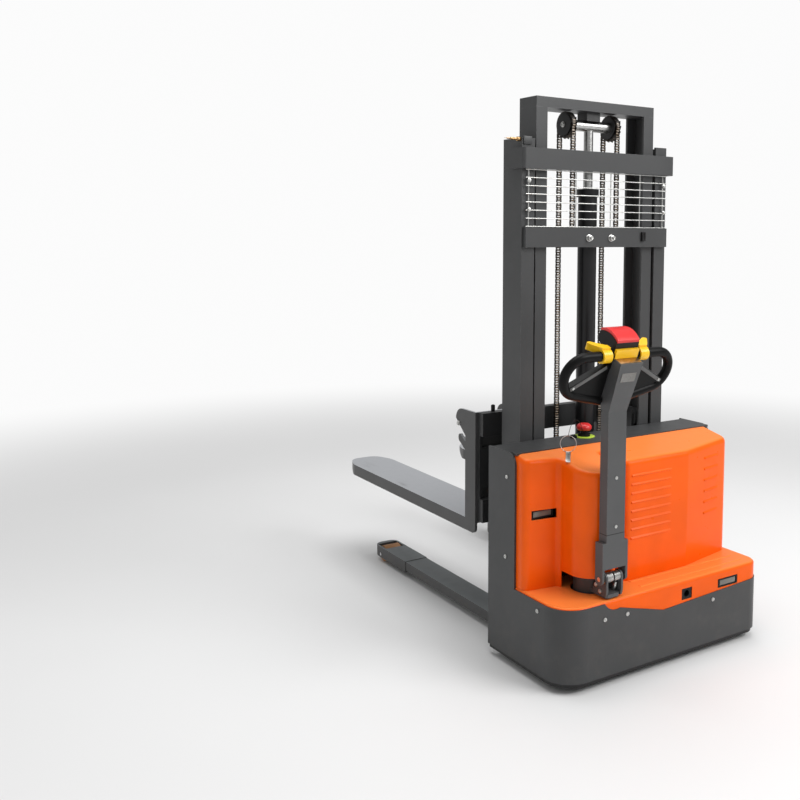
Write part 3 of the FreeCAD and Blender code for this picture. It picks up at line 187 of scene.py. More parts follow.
class Value:
    """A shader socket that Python's operators add Math nodes to."""

    def __init__(self, nodes, socket):
        self.nodes = nodes
        self.socket = socket

    def math(self, operation, *others):
        node = self.nodes.add("ShaderNodeMath", {"operation": operation}, [self, *others])
        return Value(self.nodes, node.outputs[0])

    def __add__(self, other):
        return self.math("ADD", other)

    def __rsub__(self, other):
        node = self.nodes.add("ShaderNodeMath", {"operation": "SUBTRACT"}, [other, self])
        return Value(self.nodes, node.outputs[0])

    def __mul__(self, other):
        return self.math("MULTIPLY", other)

    def clamped(self, low, high):
        """This value, spread from low..high to 0..1 and held there."""
        node = self.nodes.add("ShaderNodeMapRange", {"interpolation_type": "SMOOTHSTEP"},
                              [self, low, high, 0.0, 1.0])
        return Value(self.nodes, node.outputs[0])


class Shader:
    """The node tree of one material."""

    def __init__(self, name):
        self.material = bpy.data.materials.new(name)
        self.material.use_nodes = True
        self.tree = self.material.node_tree
        self.tree.nodes.clear()
        self.surface = self.add("ShaderNodeBsdfPrincipled", {}, [])
        self.output = self.add("ShaderNodeOutputMaterial", {}, [])
        self.tree.links.new(self.surface.outputs[0], self.output.inputs[0])
        self.place = self.add("ShaderNodeTexCoord", {}, []).outputs["Object"]

    def add(self, kind, settings, values):
        """One node: its settings first, then its sockets' values or links in order."""
        node = self.tree.nodes.new(kind)
        for key, value in settings.items():
            setattr(node, key, value)
        pairs = values.items() if isinstance(values, dict) else enumerate(values)
        for key, value in pairs:
            self.link(node.inputs[key], value)
        return node

    def link(self, socket, value):
        """Give a socket a link or a plain value."""
        if isinstance(value, Value):
            value = value.socket
        if isinstance(value, bpy.types.NodeSocket):
            self.tree.links.new(value, socket)
        elif value is not None:
            socket.default_value = value

    def fixed(self, **values):
        """Plain values of the surface's own sockets."""
        for key, value in values.items():
            self.surface.inputs[key.replace("_", " ")].default_value = value

    def noise(self, scale, detail=2.0, roughness=0.5, stretch=(1, 1, 1)):
        """Noise over the object, as a value from 0 to 1."""
        mapped = self.add("ShaderNodeMapping", {}, {"Vector": self.place, "Scale": stretch})
        node = self.add("ShaderNodeTexNoise", {}, {"Vector": mapped.outputs[0], "Scale": scale,
                                                   "Detail": detail, "Roughness": roughness})
        return Value(self, node.outputs["Fac"])

    def height(self):
        """Height of the surface over the floor in metres."""
        return Value(self, self.add("ShaderNodeSeparateXYZ", {}, [self.place]).outputs[2])

    def upward(self):
        """A mask of the faces that look up."""
        facing = self.add("ShaderNodeNewGeometry", {}, []).outputs["True Normal"]
        return Value(self, self.add("ShaderNodeSeparateXYZ", {}, [facing]).outputs[2]).clamped(0.6, 0.95)

    def edges(self, radius):
        """A mask of the outer edges within a radius."""
        bevel = self.add("ShaderNodeBevel", {"samples": 6}, [radius])
        plain = self.add("ShaderNodeNewGeometry", {}, [])
        dot = self.add("ShaderNodeVectorMath", {"operation": "DOT_PRODUCT"},
                       [bevel.outputs[0], plain.outputs["Normal"]])
        return 1.0 - Value(self, dot.outputs["Value"]).clamped(0.90, 0.999)

    def mix(self, factor, first, second):
        """Blend two colours, each a tuple or a link."""
        first, second = ((*shade, 1.0) if isinstance(shade, tuple) else shade for shade in (first, second))
        node = self.add("ShaderNodeMix", {"data_type": "RGBA"}, {0: factor, 6: first, 7: second})
        return node.outputs[2]

    def mottled(self, marks, shade, dark, light):
        """A colour that wanders between a darker and a lighter copy of itself."""
        return self.mix(marks.clamped(0.3, 0.7), tone(shade, dark), tone(shade, light))

    def bump(self, height, strength, distance):
        """Bump the surface by a height value."""
        node = self.add("ShaderNodeBump", {}, {"Strength": strength, "Distance": distance, "Height": height})
        self.link(self.surface.inputs["Normal"], node.outputs[0])


def tone(shade, factor):
    """A lighter or darker copy of a colour."""
    return tuple(min(channel * factor, 1.0) for channel in shade)


def paint(name, shade, rough, peel, coat=0.0, dust=(0.20, 0.18, 0.15), dusty=0.25, wear=None,
          shine=0.4, dark_below=None, top_streaks=None, pale=None, groove=None):
    """Sprayed paint: orange peel, slight mottling, dust low down and, if asked, worn edges.

    dark_below blackens what lies under a level, groove draws a dark joint line at a level, and upward faces
    can be lightened in streaks toward one colour, while pale gives them an even painted sheen of the light.
    """
    s = Shader(name)
    s.fixed(Coat_Weight=coat, Coat_Roughness=0.12, Specular_IOR_Level=shine)
    body = s.mottled(s.noise(5.0, 3.0), shade, 0.93, 1.06)
    dusty_height = 0.5
    low = 1.0 - s.height().clamped(0.0, dusty_height)
    dirt = s.noise(14.0, 6.0, 0.65).clamped(0.45, 0.8) * low * dusty
    body = s.mix(dirt, body, dust)
    if wear:
        worn_width = 0.0015
        worn = s.edges(worn_width) * s.noise(60.0, 4.0).clamped(0.48, 0.62)
        body = s.mix(worn * 0.6, body, wear)
    # painted sheen: upward faces turn toward a paler colour, standing in for the light that falls on the
    # tops
    if pale:
        body = s.mix(s.upward(), body, pale)
    # upward faces lighten in streaks toward a colour
    if top_streaks:
        streaks = s.noise(5.0, 4.0, 0.55, (3.0, 0.7, 1.0)).clamped(0.05, 0.42)
        body = s.mix(s.upward() * streaks * 0.95, body, top_streaks)
    blur = 0.001
    if dark_below:
        body = s.mix(1.0 - s.height().clamped(dark_below - blur, dark_below + blur), body,
                     (0.008, 0.008, 0.008))
    if groove:
        line = s.height().clamped(groove - 2 * blur, groove - blur) * (
            1.0 - s.height().clamped(groove + blur, groove + 2 * blur))
        body = s.mix(line * 0.9, body, (0.006, 0.006, 0.006))
    s.link(s.surface.inputs["Base Color"], body)
    s.link(s.surface.inputs["Roughness"], s.noise(30.0, 3.0) * 0.12 + (rough - 0.06) + dirt * 0.3)
    s.bump(s.noise(260.0, 2.0), 0.10, peel)
    return s.material


def metal(name, shade, rough, scale=90.0, stretch=(1, 1, 1), stain=None, metallic=1.0):
    """Bare or plated metal with fine marks and, if asked, oily stains."""
    s = Shader(name)
    s.fixed(Metallic=metallic)
    marks = s.noise(scale, 4.0, 0.6, stretch)
    body = s.mottled(marks, shade, 0.85, 1.08)
    if stain:
        body = s.mix(s.noise(35.0, 4.0).clamped(0.4, 0.7), body, stain)
    s.link(s.surface.inputs["Base Color"], body)
    s.link(s.surface.inputs["Roughness"], marks * 0.2 + (rough - 0.1))
    s.bump(marks, 0.08, 0.0005)
    return s.material


def moulded(name, shade, rough, grain=0.0003, scale=700.0, shine=0.5):
    """Moulded plastic or rubber with a fine spark grain."""
    s = Shader(name)
    s.fixed(Specular_IOR_Level=shine)
    speck = s.noise(scale, 3.0)
    s.link(s.surface.inputs["Base Color"], s.mottled(s.noise(9.0, 3.0), shade, 0.9, 1.12))
    s.link(s.surface.inputs["Roughness"], speck * 0.14 + (rough - 0.07))
    s.bump(speck, 0.25, grain)
    return s.material


def lift_rod():
    """Ground steel rod and shaft under a block that is painted black."""
    s = Shader("lift_rod")
    marks = s.noise(60.0, 4.0, 0.6, (1, 1, 6))
    steel = s.mix(marks.clamped(0.3, 0.7), (0.42, 0.42, 0.41), (0.56, 0.56, 0.55))
    bottom, top = (corner[2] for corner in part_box("chain_sheaves"))
    shaft_share = 0.58
    level = bottom + (top - bottom) * shaft_share
    black = s.height().clamped(level, level + 0.002)
    s.link(s.surface.inputs["Base Color"], s.mix(black, steel, (0.014, 0.014, 0.014)))
    s.link(s.surface.inputs["Metallic"], 1.0 - black)
    s.link(s.surface.inputs["Roughness"], marks * 0.15 + 0.22 + black * 0.12)
    s.bump(marks, 0.05, 0.0003)
    return s.material


def finishes():
    """All finishes by name."""
    tint = bpy.context.scene.stacker_colours
    grey = tuple(tint.grey)
    black = tuple(tint.black)
    fork = tuple(tint.fork)
    worn = (0.20, 0.20, 0.20)
    rub = {"dust": (0.16, 0.14, 0.11), "dusty": 0.3, "wear": (0.22, 0.22, 0.22)}
    return {
        # the covers' upward faces turn paler, a painted sheen of the light on their tops
        "orange": paint("orange_paint", tuple(tint.orange), 0.30, 0.0003, coat=0.06, dusty=0.04, shine=0.14,
                        pale=tuple(tint.cover_sheen)),
        "oil_black": paint("cylinder_paint", (0.010, 0.010, 0.011), 0.30, 0.0004, shine=0.3),
        "grey": paint("grey_paint", grey, 0.42, 0.0005, wear=worn),
        "skirt": paint("skirt_paint", grey, 0.40, 0.0005, wear=worn, dusty=0.10, dark_below=SKIRT_DARK_LEVEL),
        "tiller": paint("tiller_paint", tone(grey, 1.55), 0.42, 0.0005, wear=(0.22, 0.21, 0.20),
                        groove=ARM_JOINT),
        "fork": paint("fork_paint", fork, 0.36, 0.0006, top_streaks=(0.36, 0.37, 0.39), **rub),
        "leg": paint("leg_paint", fork, 0.36, 0.0006, top_streaks=(0.15, 0.165, 0.17), **rub),
        # painted shade: the fork carriage wears the frame grey darkened, for the shade that it lies in
        "shaded_grey": paint("carriage_paint", tone(grey, 0.6), 0.42, 0.0005, wear=worn),
        "rod": lift_rod(),
        "zinc": metal("zinc_plate", (0.62, 0.62, 0.60), 0.32),
        "brass": metal("brass_fitting", tuple(tint.brass), 0.30),
        "chrome": metal("chrome_rod", (0.70, 0.70, 0.70), 0.16, 40.0, (1, 1, 14)),
        "chain": metal("chain_steel", (0.055, 0.050, 0.046), 0.34, 120.0, stain=(0.03, 0.022, 0.015),
                       metallic=0.8),
        "roller": metal("chain_rollers", (0.24, 0.21, 0.18), 0.30, 120.0, stain=(0.10, 0.07, 0.045)),
        "sheave": metal("sheave_steel", (0.022, 0.022, 0.022), 0.40, 120.0, metallic=0.3),
        "black": moulded("black_plastic", tone(black, 0.7), 0.42, shine=0.2),
        "grip": moulded("grip_rubber", tone(black, 0.4), 0.36, 0.0003, shine=0.12),
        "strip": moulded("grey_strip", (0.10, 0.10, 0.098), 0.40),
        "red": moulded("red_plastic", tuple(tint.red), 0.32, 0.0002),
        "yellow": moulded("yellow_plastic", tuple(tint.yellow), 0.30, 0.0002),
        "lime": moulded("lime_ring", tuple(tint.lime), 0.45, 0.0002),
        "screen": moulded("screen_glass", tuple(tint.screen), 0.16, 0.0001, shine=0.6),
        "plate": metal("blank_plate", (0.20, 0.195, 0.185), 0.38, 160.0, metallic=0.5),
        "tan": moulded("tan_roller", tuple(tint.tan), 0.5, 0.0004, 300.0),
        "tread": moulded("black_tread", (0.02, 0.02, 0.02), 0.6, 0.0006, 300.0),
    }


NODE_FINISH = {
    "orange": ["step_cover", "upper_cover"],
    "skirt": ["chassis_frame"],
    "grey": ["deck_plate", "front_bulkhead", "top_shelf", "caster_mount", "drive_unit",
             "outer_rail_left", "outer_rail_right", "mast_foot_plate", "upper_band", "lower_band",
             "inner_rail_left", "inner_rail_right", "inner_tie", "top_beam", "chain_anchor_left",
             "chain_anchor_right"],
    "oil_black": ["cylinder_barrel", "cylinder_cap"],
    "fork": ["fork_left", "fork_right"],
    "leg": ["leg_left", "leg_right"],
    "shaded_grey": ["fork_carriage"],
    "tiller": ["tiller_arm", "steering_bracket"],
    "zinc": ["mesh_guard", "caster_fork"],
    "rod": ["piston_rod"],
    "sheave": ["chain_sheaves"],
    "chrome": ["tiller_pin", "load_axle_left", "load_axle_right"],
    "chain": ["chain_back_left", "chain_back_right", "chain_front_left", "chain_front_right", "chain_wraps"],
    "black": ["hour_display", "battery_gauge", "charging_socket", "stop_collar", "control_head",
              "battery_pack"],
    "grip": ["handle_left", "handle_right"],
    "red": ["belly_button", "stop_button"],
    "yellow": ["throttle"],
    "tan": ["load_wheel_left", "load_wheel_right", "caster_wheel"],
    "tread": ["drive_wheel"],
}

LOOKS = {}


def wear_finish(item, name):
    """Give an object one finish."""
    item.data.materials.clear()
    item.data.materials.append(LOOKS[name])


# ---------------------------------------------------------------- pieces

class STACKER_OT_finish(bpy.types.Operator):
    """Give every carried-over node its finish."""

    bl_idname = "stacker.finish"
    bl_label = "Paint the nodes"

    def execute(self, context):
        LOOKS.update(finishes())
        painted = set()
        for look, names in NODE_FINISH.items():
            for name in names:
                wear_finish(NODES[name], look)
                painted.add(name)
        left = set(NODES) - painted
        if left:
            raise RuntimeError(f"nodes without a finish: {sorted(left)}")
        return {"FINISHED"}


def begin():
    """Leave nothing selected."""
    bpy.ops.object.select_all(action="DESELECT")


def bake():
    """Put the place, turn and scale of what is selected into its mesh."""
    bpy.ops.object.transform_apply(location=True, rotation=True, scale=True)


def join(items):
    """Join pieces into the first one, which becomes the active piece."""
    begin()
    for item in items:
        item.select_set(True)
    bpy.context.view_layer.objects.active = items[0]
    if len(items) > 1:
        bpy.ops.object.join()
    return items[0]


def settle(name, body, look, place=None, toward=None):
    """Turn the active piece's Z axis toward a direction, put its place in its mesh and let it ride."""
    item = bpy.context.object
    if toward is not None:
        item.rotation_euler = Vector(toward).to_track_quat("Z", "Y").to_euler()
    if place is not None:
        item.location = place
    bake()
    item.name = name
    item.data.name = name
    wear_finish(item, look)
    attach(item, body)
    return item


def lay(item, run, across, out, place):
    """Turn a piece's X, Y and Z axes along three directions and put it in a place."""
    item.matrix_world = Matrix.Translation(place) @ Matrix((run, across, out)).transposed().to_4x4()


def pick_faces(item, wanted):
    """Select the faces that a test accepts, in edit mode."""
    bpy.ops.object.mode_set(mode="EDIT")
    bpy.ops.mesh.select_mode(type="FACE")
    bpy.ops.mesh.select_all(action="DESELECT")
    bpy.ops.object.mode_set(mode="OBJECT")
    for face in item.data.polygons:
        face.select = wanted(face)
    bpy.ops.object.mode_set(mode="EDIT")


def soften(width, segments=2, limit=40.0):
    """Bevel the sharp edges of the active piece."""
    item = bpy.context.object
    bevel = item.modifiers.new("soft_edges", "BEVEL")
    bevel.width = width
    bevel.segments = segments
    bevel.limit_method = "ANGLE"
    bevel.angle_limit = math.radians(limit)
    bpy.ops.object.modifier_apply(modifier=bevel.name)
    bpy.ops.object.shade_smooth_by_angle(angle=math.radians(35.0))


def turned(radius, depth, steps, sides=24):
    """A turned piece that stands on the floor: a disc with insets and lifts on its top face."""
    begin()
    bpy.ops.mesh.primitive_cylinder_add(vertices=sides, radius=radius, depth=depth,
                                        location=(0, 0, depth / 2))
    bake()
    pick_faces(bpy.context.object, lambda face: face.normal.z > ALIGNED)
    for inward, lift in steps:
        if inward:
            bpy.ops.mesh.inset(thickness=inward)
        if lift:
            bpy.ops.mesh.extrude_region_move(TRANSFORM_OT_translate={"value": (0, 0, lift)})
    bpy.ops.object.mode_set(mode="OBJECT")


def slab(size, bevel, inset=None):
    """A bevelled plate on the floor, with a sunk panel on its top if inset = (border, depth)."""
    begin()
    bpy.ops.mesh.primitive_cube_add(size=1.0, location=(0, 0, size[2] / 2))
    item = bpy.context.object
    item.scale = size
    bake()
    if inset:
        border, depth = inset
        pick_faces(item, lambda face: face.normal.z > ALIGNED)
        bpy.ops.mesh.inset(thickness=border)
        bpy.ops.mesh.extrude_region_move(TRANSFORM_OT_translate={"value": (0, 0, -depth)})
        bpy.ops.object.mode_set(mode="OBJECT")
    soften(bevel)
    return item


def spread(name, body, look, spots):
    """Copy the active piece to places and directions, join the copies and let them ride."""
    first = bpy.context.object
    copies = []
    for place, toward in spots:
        copy = first.copy()
        copy.data = first.data.copy()
        bpy.context.collection.objects.link(copy)
        copy.rotation_euler = Vector(toward).to_track_quat("Z", "Y").to_euler()
        copy.location = place
        begin()
        copy.select_set(True)
        bake()
        copies.append(copy)
    bpy.data.objects.remove(first)
    join(copies)
    settle(name, body, look)


def centre(node):
    """Middle of a node's box."""
    low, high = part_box(node)
    return (Vector(low) + Vector(high)) / 2


class STACKER_OT_chains(bpy.types.Operator):
    """Lift chains with rollers and plates, in the places of their nodes."""

    bl_idname = "stacker.chains"
    bl_label = "Lift chains"

    def unit(self, wide, pitch, radius):
        """Two pitches of chain along Z: an inner pair of plates and an outer pair."""
        roller_share, inner_share, outer_share, plate_share = 0.62, 0.36, 0.45, 0.07
        begin()
        rollers = []
        for step in (0.5, 1.5):
            bpy.ops.mesh.primitive_cylinder_add(vertices=10, radius=radius, depth=wide * roller_share,
                                                location=(0, 0, pitch * step),
                                                rotation=(0, math.pi / 2, 0))
            bake()
            wear_finish(bpy.context.object, "roller")
            rollers.append(bpy.context.object)
        plates = []
        for step, share in ((1, inner_share), (2, outer_share)):
            for side in (-1, 1):
                bpy.ops.mesh.primitive_cube_add(size=1.0, location=(wide * share * side, 0, pitch * step))
                plate = bpy.context.object
                plate.scale = (wide * plate_share, radius * 2.5, pitch + radius * 2.0)
                bake()
                plates.append(plate)
        links = join(plates)
        soften(radius * 0.9, 1, 30.0)
        wear_finish(links, "chain")
        join([links, *rollers])
        bpy.ops.object.shade_smooth_by_angle(angle=math.radians(40.0))
        return links

    def strand(self, node, lower, sizes):
        """One straight strand in the place of its node."""
        low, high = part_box(node)
        tall = high[2] - low[2]
        pairs = max(2, round(tall / sizes.link_pitch / 2))
        pitch = tall / pairs / 2
        item = self.unit(high[0] - low[0], pitch, sizes.roller_radius)
        row = item.modifiers.new("row", "ARRAY")
        row.use_relative_offset = False
        row.use_constant_offset = True
        row.constant_offset_displace = (0, 0, pitch * 2)
        row.count = pairs
        bpy.ops.object.modifier_apply(modifier=row.name)
        item.location = ((low[0] + high[0]) / 2, (low[1] + high[1]) / 2, low[2])
        bake()
        item.name = f"{node}_links"
        item.data.name = item.name
        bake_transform(item)
        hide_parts(node)

    def wraps(self, sizes):
        """The links that lie over both sheaves."""
        low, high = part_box("chain_wraps")
        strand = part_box("chain_back_right")
        wide = strand[1][0] - strand[0][0]
        middle_y = (low[1] + high[1]) / 2
        reach = (high[1] - low[1]) / 2 - sizes.roller_radius
        units = 8
        turn = math.pi / units
        made = []
        for x in (low[0] + wide / 2, high[0] - wide / 2):
            item = self.unit(wide, reach * turn / 2, sizes.roller_radius)
            item.location = (x, middle_y - reach, low[2])
            bake()
            bpy.ops.object.mode_set(mode="EDIT")
            bpy.ops.mesh.select_all(action="SELECT")
            bpy.ops.mesh.spin(steps=units - 1, dupli=True, angle=turn * (units - 1),
                              center=(x, middle_y, low[2]), axis=LEFT)
            bpy.ops.mesh.select_all(action="SELECT")
            bpy.ops.mesh.normals_make_consistent(inside=False)
            bpy.ops.object.mode_set(mode="OBJECT")
            made.append(item)
        links = join(made)
        links.name = "chain_wrap_links"
        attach(links, "inner_mast")

    def execute(self, context):
        sizes = context.scene.stacker_sizes
        for side in ("left", "right"):
            self.strand(f"chain_back_{side}", "chassis", sizes)
            self.strand(f"chain_front_{side}", "carriage", sizes)
        self.wraps(sizes)
        return {"FINISHED"}


class STACKER_OT_screws(bpy.types.Operator):
    """Screws, studs, bolts and clips."""

    bl_idname = "stacker.screws"
    bl_label = "Screws and studs"

    def screw(self, radius):
        """A pan-head screw with a recess."""
        turned(radius, radius * 0.35, [(radius * 0.22, radius * 0.2), (radius * 0.35, -radius * 0.25)], 20)
        soften(radius * 0.08)

    def covers(self, sizes):
        """Screws of the skirt, the side plates and the tiller arm."""
        low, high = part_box("chassis_frame")
        spots = [((x, low[1], level), REARWARD) for x, level in SKIRT_SCREWS]
        for x, toward in ((-high[0], LEFT), (high[0], RIGHT)):
            spots += [((x, y, level), toward) for y, level in SIDE_SCREWS]
        self.screw(sizes.screw_radius)
        spread("cover_screws", "chassis", "zinc", spots)
        self.screw(sizes.screw_radius * 0.8)
        spread("tiller_screws", "tiller", "zinc",
               [((x, ARM_BACK, level), REARWARD) for x, level in ARM_SCREWS])

    def mast(self, sizes):
        """Studs and clip of the lower band, bolts of the mesh and sheaves, the left rail's fitting."""
        band, band_y = centre("lower_band"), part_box("lower_band")[0][1]
        radius = sizes.stud_radius
        turned(radius * 1.25, 0.002,
               [(radius * 0.25, 0.010), (radius * 0.45, 0.010), (radius * 0.1, -0.002)], 16)
        soften(EDGE)
        spread("clamp_studs", "chassis", "zinc",
               [((x, band_y, band.z - 0.002), REARWARD) for x in CLAMP_STUDS])
        slab(CLIP, 0.0025, (0.004, 0.002))
        settle("band_clip", "chassis", "black", (CLIP_X, band_y, band.z + 0.004), REARWARD)

        low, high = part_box("mesh_guard")
        turned(*MESH_BOLT)
        soften(EDGE)
        spread("mesh_bolts", "chassis", "zinc",
               [((side * (high[0] - MESH_BOLT_INSET), low[1] + 0.002, level), REARWARD)
                for side in (-1, 1) for level in MESH_BOLT_LEVELS])

        low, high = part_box("chain_sheaves")
        axle = ((low[1] + high[1]) / 2, high[2] - (high[1] - low[1]) / 2)
        turned(*SHEAVE_BOLT)
        soften(EDGE)
        spread("sheave_bolts", "inner_mast", "zinc", [((low[0], *axle), LEFT), ((high[0], *axle), RIGHT)])

        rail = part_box("outer_rail_left")[0]
        turned(*BLEED_SCREW)
        soften(FINE_EDGE)
        settle("bleed_fitting", "chassis", "brass", (rail[0], *BLEED_FITTING), LEFT)
        slab(FITTING_SEAT, 0.0012)
        settle("fitting_plate", "chassis", "grey", (FITTING_PLATE[0], rail[1], FITTING_PLATE[1]), REARWARD)

    def forks(self):
        """Pins and knobs of the forks."""
        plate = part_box("fork_left")[0][0]
        turned(*PIN_HEAD)
        soften(EDGE)
        spread("fork_pins", "carriage", "zinc", [((plate, *FORK_PIN), LEFT), ((-plate, *FORK_PIN), RIGHT)])
        turned(*KNOB)
        soften(0.0015)
        spread("fork_knobs", "carriage", "black",
               [((side * FORK_KNOB[0], *FORK_KNOB[1:]), UP) for side in (-1, 1)])

    def execute(self, context):
        self.covers(context.scene.stacker_sizes)
        self.mast(context.scene.stacker_sizes)
        self.forks()
        return {"FINISHED"}


class STACKER_OT_switches(bpy.types.Operator):
    """Display windows, the ring under the stop button and the key with its ring."""

    bl_idname = "stacker.switches"
    bl_label = "Displays and key"

    def display(self, node):
        """Bezel and window of a display."""
        low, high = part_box(node)
        wide, tall = high[0] - low[0], high[2] - low[2]
        bezel_depth, rim, sunk = 0.004, 0.005, 0.002
        place = ((low[0] + high[0]) / 2, low[1] + sunk, (low[2] + high[2]) / 2)
        slab((wide * 0.96, tall * 0.94, bezel_depth), 0.0012, (rim, sunk))
        settle(f"{node}_bezel", "chassis", "black", place, REARWARD)
        slab((wide * 0.78, tall * 0.58, 0.0026), FINE_EDGE)
        settle(f"{node}_window", "chassis", "screen", place, REARWARD)

    def key(self, sizes, hook):
        """The ring that stands on the cover, its key, and the wire that holds them to the switch."""
        rest = Vector(KEY_REST)
        radius = sizes.ring_radius
        begin()
        bpy.ops.mesh.primitive_torus_add(major_radius=radius, minor_radius=KEY_RING_WIRE, major_segments=48,
                                         minor_segments=8)
        bpy.ops.object.shade_smooth()
        ring = settle("key_ring", "chassis", "zinc", rest + Vector((0, 0, radius)), RING_FACES)

        slab(KEY, EDGE)
        key = bpy.context.object
        pick_faces(key, lambda face: face.normal.y < -ALIGNED)
        bpy.ops.transform.resize(value=(KEY_TAPER, 1.0, 1.0))
        bpy.ops.object.mode_set(mode="OBJECT")
        key.rotation_euler.z = KEY_TURN
        bake()
        settle("key_blade", "chassis", "zinc", rest + Vector(KEY_MIDDLE), COVER_SLOPE)

        route = [hook, hook + Vector((-0.020, -0.018, 0.045)), (-0.185, -0.588, 0.870),
                 (-0.250, -0.638, 0.868), rest + Vector((0, 0, radius * 2))]
        bpy.ops.curve.primitive_nurbs_path_add(radius=0.1)
        wire = bpy.context.object
        spline = wire.data.splines[0]
        for point, spot in zip(spline.points, route):
            point.co = (*spot, 1.0)
        spline.order_u = 3
        spline.use_endpoint_u = True
        wire.data.bevel_depth = sizes.wire / 2
        wire.data.resolution_u = 12
        settle("key_wire", "chassis", "black")

    def execute(self, context):
        sizes = context.scene.stacker_sizes
        for node in ("hour_display", "battery_gauge"):
            self.display(node)
        low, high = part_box("stop_button")
        x, y = ((low[axis] + high[axis]) / 2 for axis in (0, 1))
        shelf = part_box("top_shelf")[1][2]
        turned(STOP_RING, sizes.strip_wall * 2, [(0.010, 0.0006)], 40)
        soften(0.0005)
        settle("stop_ring", "chassis", "lime", (x, y, shelf), UP)
        self.key(sizes, Vector((x + HOOK[0], y + HOOK[1], shelf + HOOK[2])))
        return {"FINISHED"}


class STACKER_OT_tiller(bpy.types.Operator):
    """Blank plate, end strip, grip strips, springs and bolts on the tiller."""

    bl_idname = "stacker.tiller"
    bl_label = "Tiller's small parts"

    def head(self, sizes):
        """Plate, end strip and grip strips on the head, which leans rearward over the arm."""
        away, lean = HEAD_LEAN
        out = Vector((0, -away, -lean)).normalized()
        along = Vector((0, -lean, away)).normalized()
        bend = Vector((ARM_X, ARM_BACK, ARM_BEND))
        slab((*NAME_PLATE_FACE, sizes.strip_wall), 0.0004, (0.002, 0.0004))
        lay(bpy.context.object, RIGHT, along, out, Vector((ARM_X, *NAME_PLATE)) - along * NAME_PLATE_DROP)
        settle("name_plate", "tiller", "plate")

        slab((*END_STRIP_FACE, sizes.strip_wall), 0.0004)
        settle("end_strip", "tiller", "brass", bend + along * HEAD_LENGTH - out * HEAD_MIDDLE, along)

        for name, side in (("left", -1), ("right", 1)):
            inner, outer = (bend - out * WEB_FACE + along * rise + Vector((side * reach, 0, 0))
                            for reach, rise in (STRIP_INNER, STRIP_OUTER))
            run = (outer - inner).normalized()
            slab(((outer - inner).length, *GRIP_STRIP_EDGE), 0.0012)
            lay(bpy.context.object, run, out.cross(run), out, (inner + outer) / 2)
            settle(f"grip_strip_{name}", "tiller", "strip")
            turned(*GRIP_SCREW)
            settle(f"grip_screw_{name}", "tiller", "zinc", outer + out * 0.003 - run * 0.012, out)

    def hinge(self):
        """Springs on the tiller's pin and bolts of its bracket."""
        pin = centre("tiller_pin")
        begin()
        bpy.ops.mesh.primitive_torus_add(major_radius=SPRING[0], minor_radius=SPRING[1], major_segments=24,
                                         minor_segments=8)
        bpy.ops.object.shade_smooth()
        spread("return_springs", "steering", "zinc",
               [(pin + Vector((coil * SPRING_STEP + side * SPRING_REACH, 0, 0)), (1, 0.10, 0))
                for side in (-1, 1) for coil in SPRING_COILS])
        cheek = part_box("steering_bracket")[0][0]
        turned(*HEX_BOLT)
        soften(FINE_EDGE)
        spread("bracket_bolts", "steering", "zinc",
               [((cheek, pin.y + shift, pin.z + rise), LEFT) for shift, rise in BRACKET_BOLTS])
        turned(*LONG_BOLT)
        soften(FINE_EDGE)
        spread("stop_bolts", "steering", "zinc",
               [(pin + Vector((side * STOP_BOLT[0], *STOP_BOLT[1:])), (0.0, -0.35, 0.94))
                for side in (-1, 1)])

    def execute(self, context):
        self.head(context.scene.stacker_sizes)
        self.hinge()
        return {"FINISHED"}


# ---------------------------------------------------------------- stage

FLOOR_FADE = (2.6, 6.0)         # metres from the machine between which the floor turns to backdrop
CAMERA_PLACE = (-2.348, -3.330, 1.55)
CAMERA_ANGLES = (-34.8, 85.0, 0.44)     # degrees about Z, X and then Z
CAMERA_LENS = 43.13
CAMERA_SHIFT = (-0.15, -0.104)
# Each softbox: its name, place, target, width and height, and its share of the key light's power.
LAMPS = (
    ("key", (2.2, -4.2, 4.2), (0, -0.3, 0.9), (3.0, 3.0), 1.0),
    ("fill", (-5.0, -1.0, 2.6), (0, 0, 0.8), (2.5, 3.0), 0.04),
    ("top", (0.0, 0.0, 5.5), (0, 0, 0.5), (4.0, 4.0), 0.95),
)


def soft_lamp(name, place, target, size, power):
    """A softbox that looks at a point."""
    bpy.ops.object.light_add(type="AREA", location=place)
    lamp = bpy.context.object
    lamp.name = name
    lamp.data.shape = "RECTANGLE"
    lamp.data.size, lamp.data.size_y = size
    lamp.data.energy = power
    lamp.rotation_euler = (Vector(target) - Vector(place)).to_track_quat("-Z", "Y").to_euler()


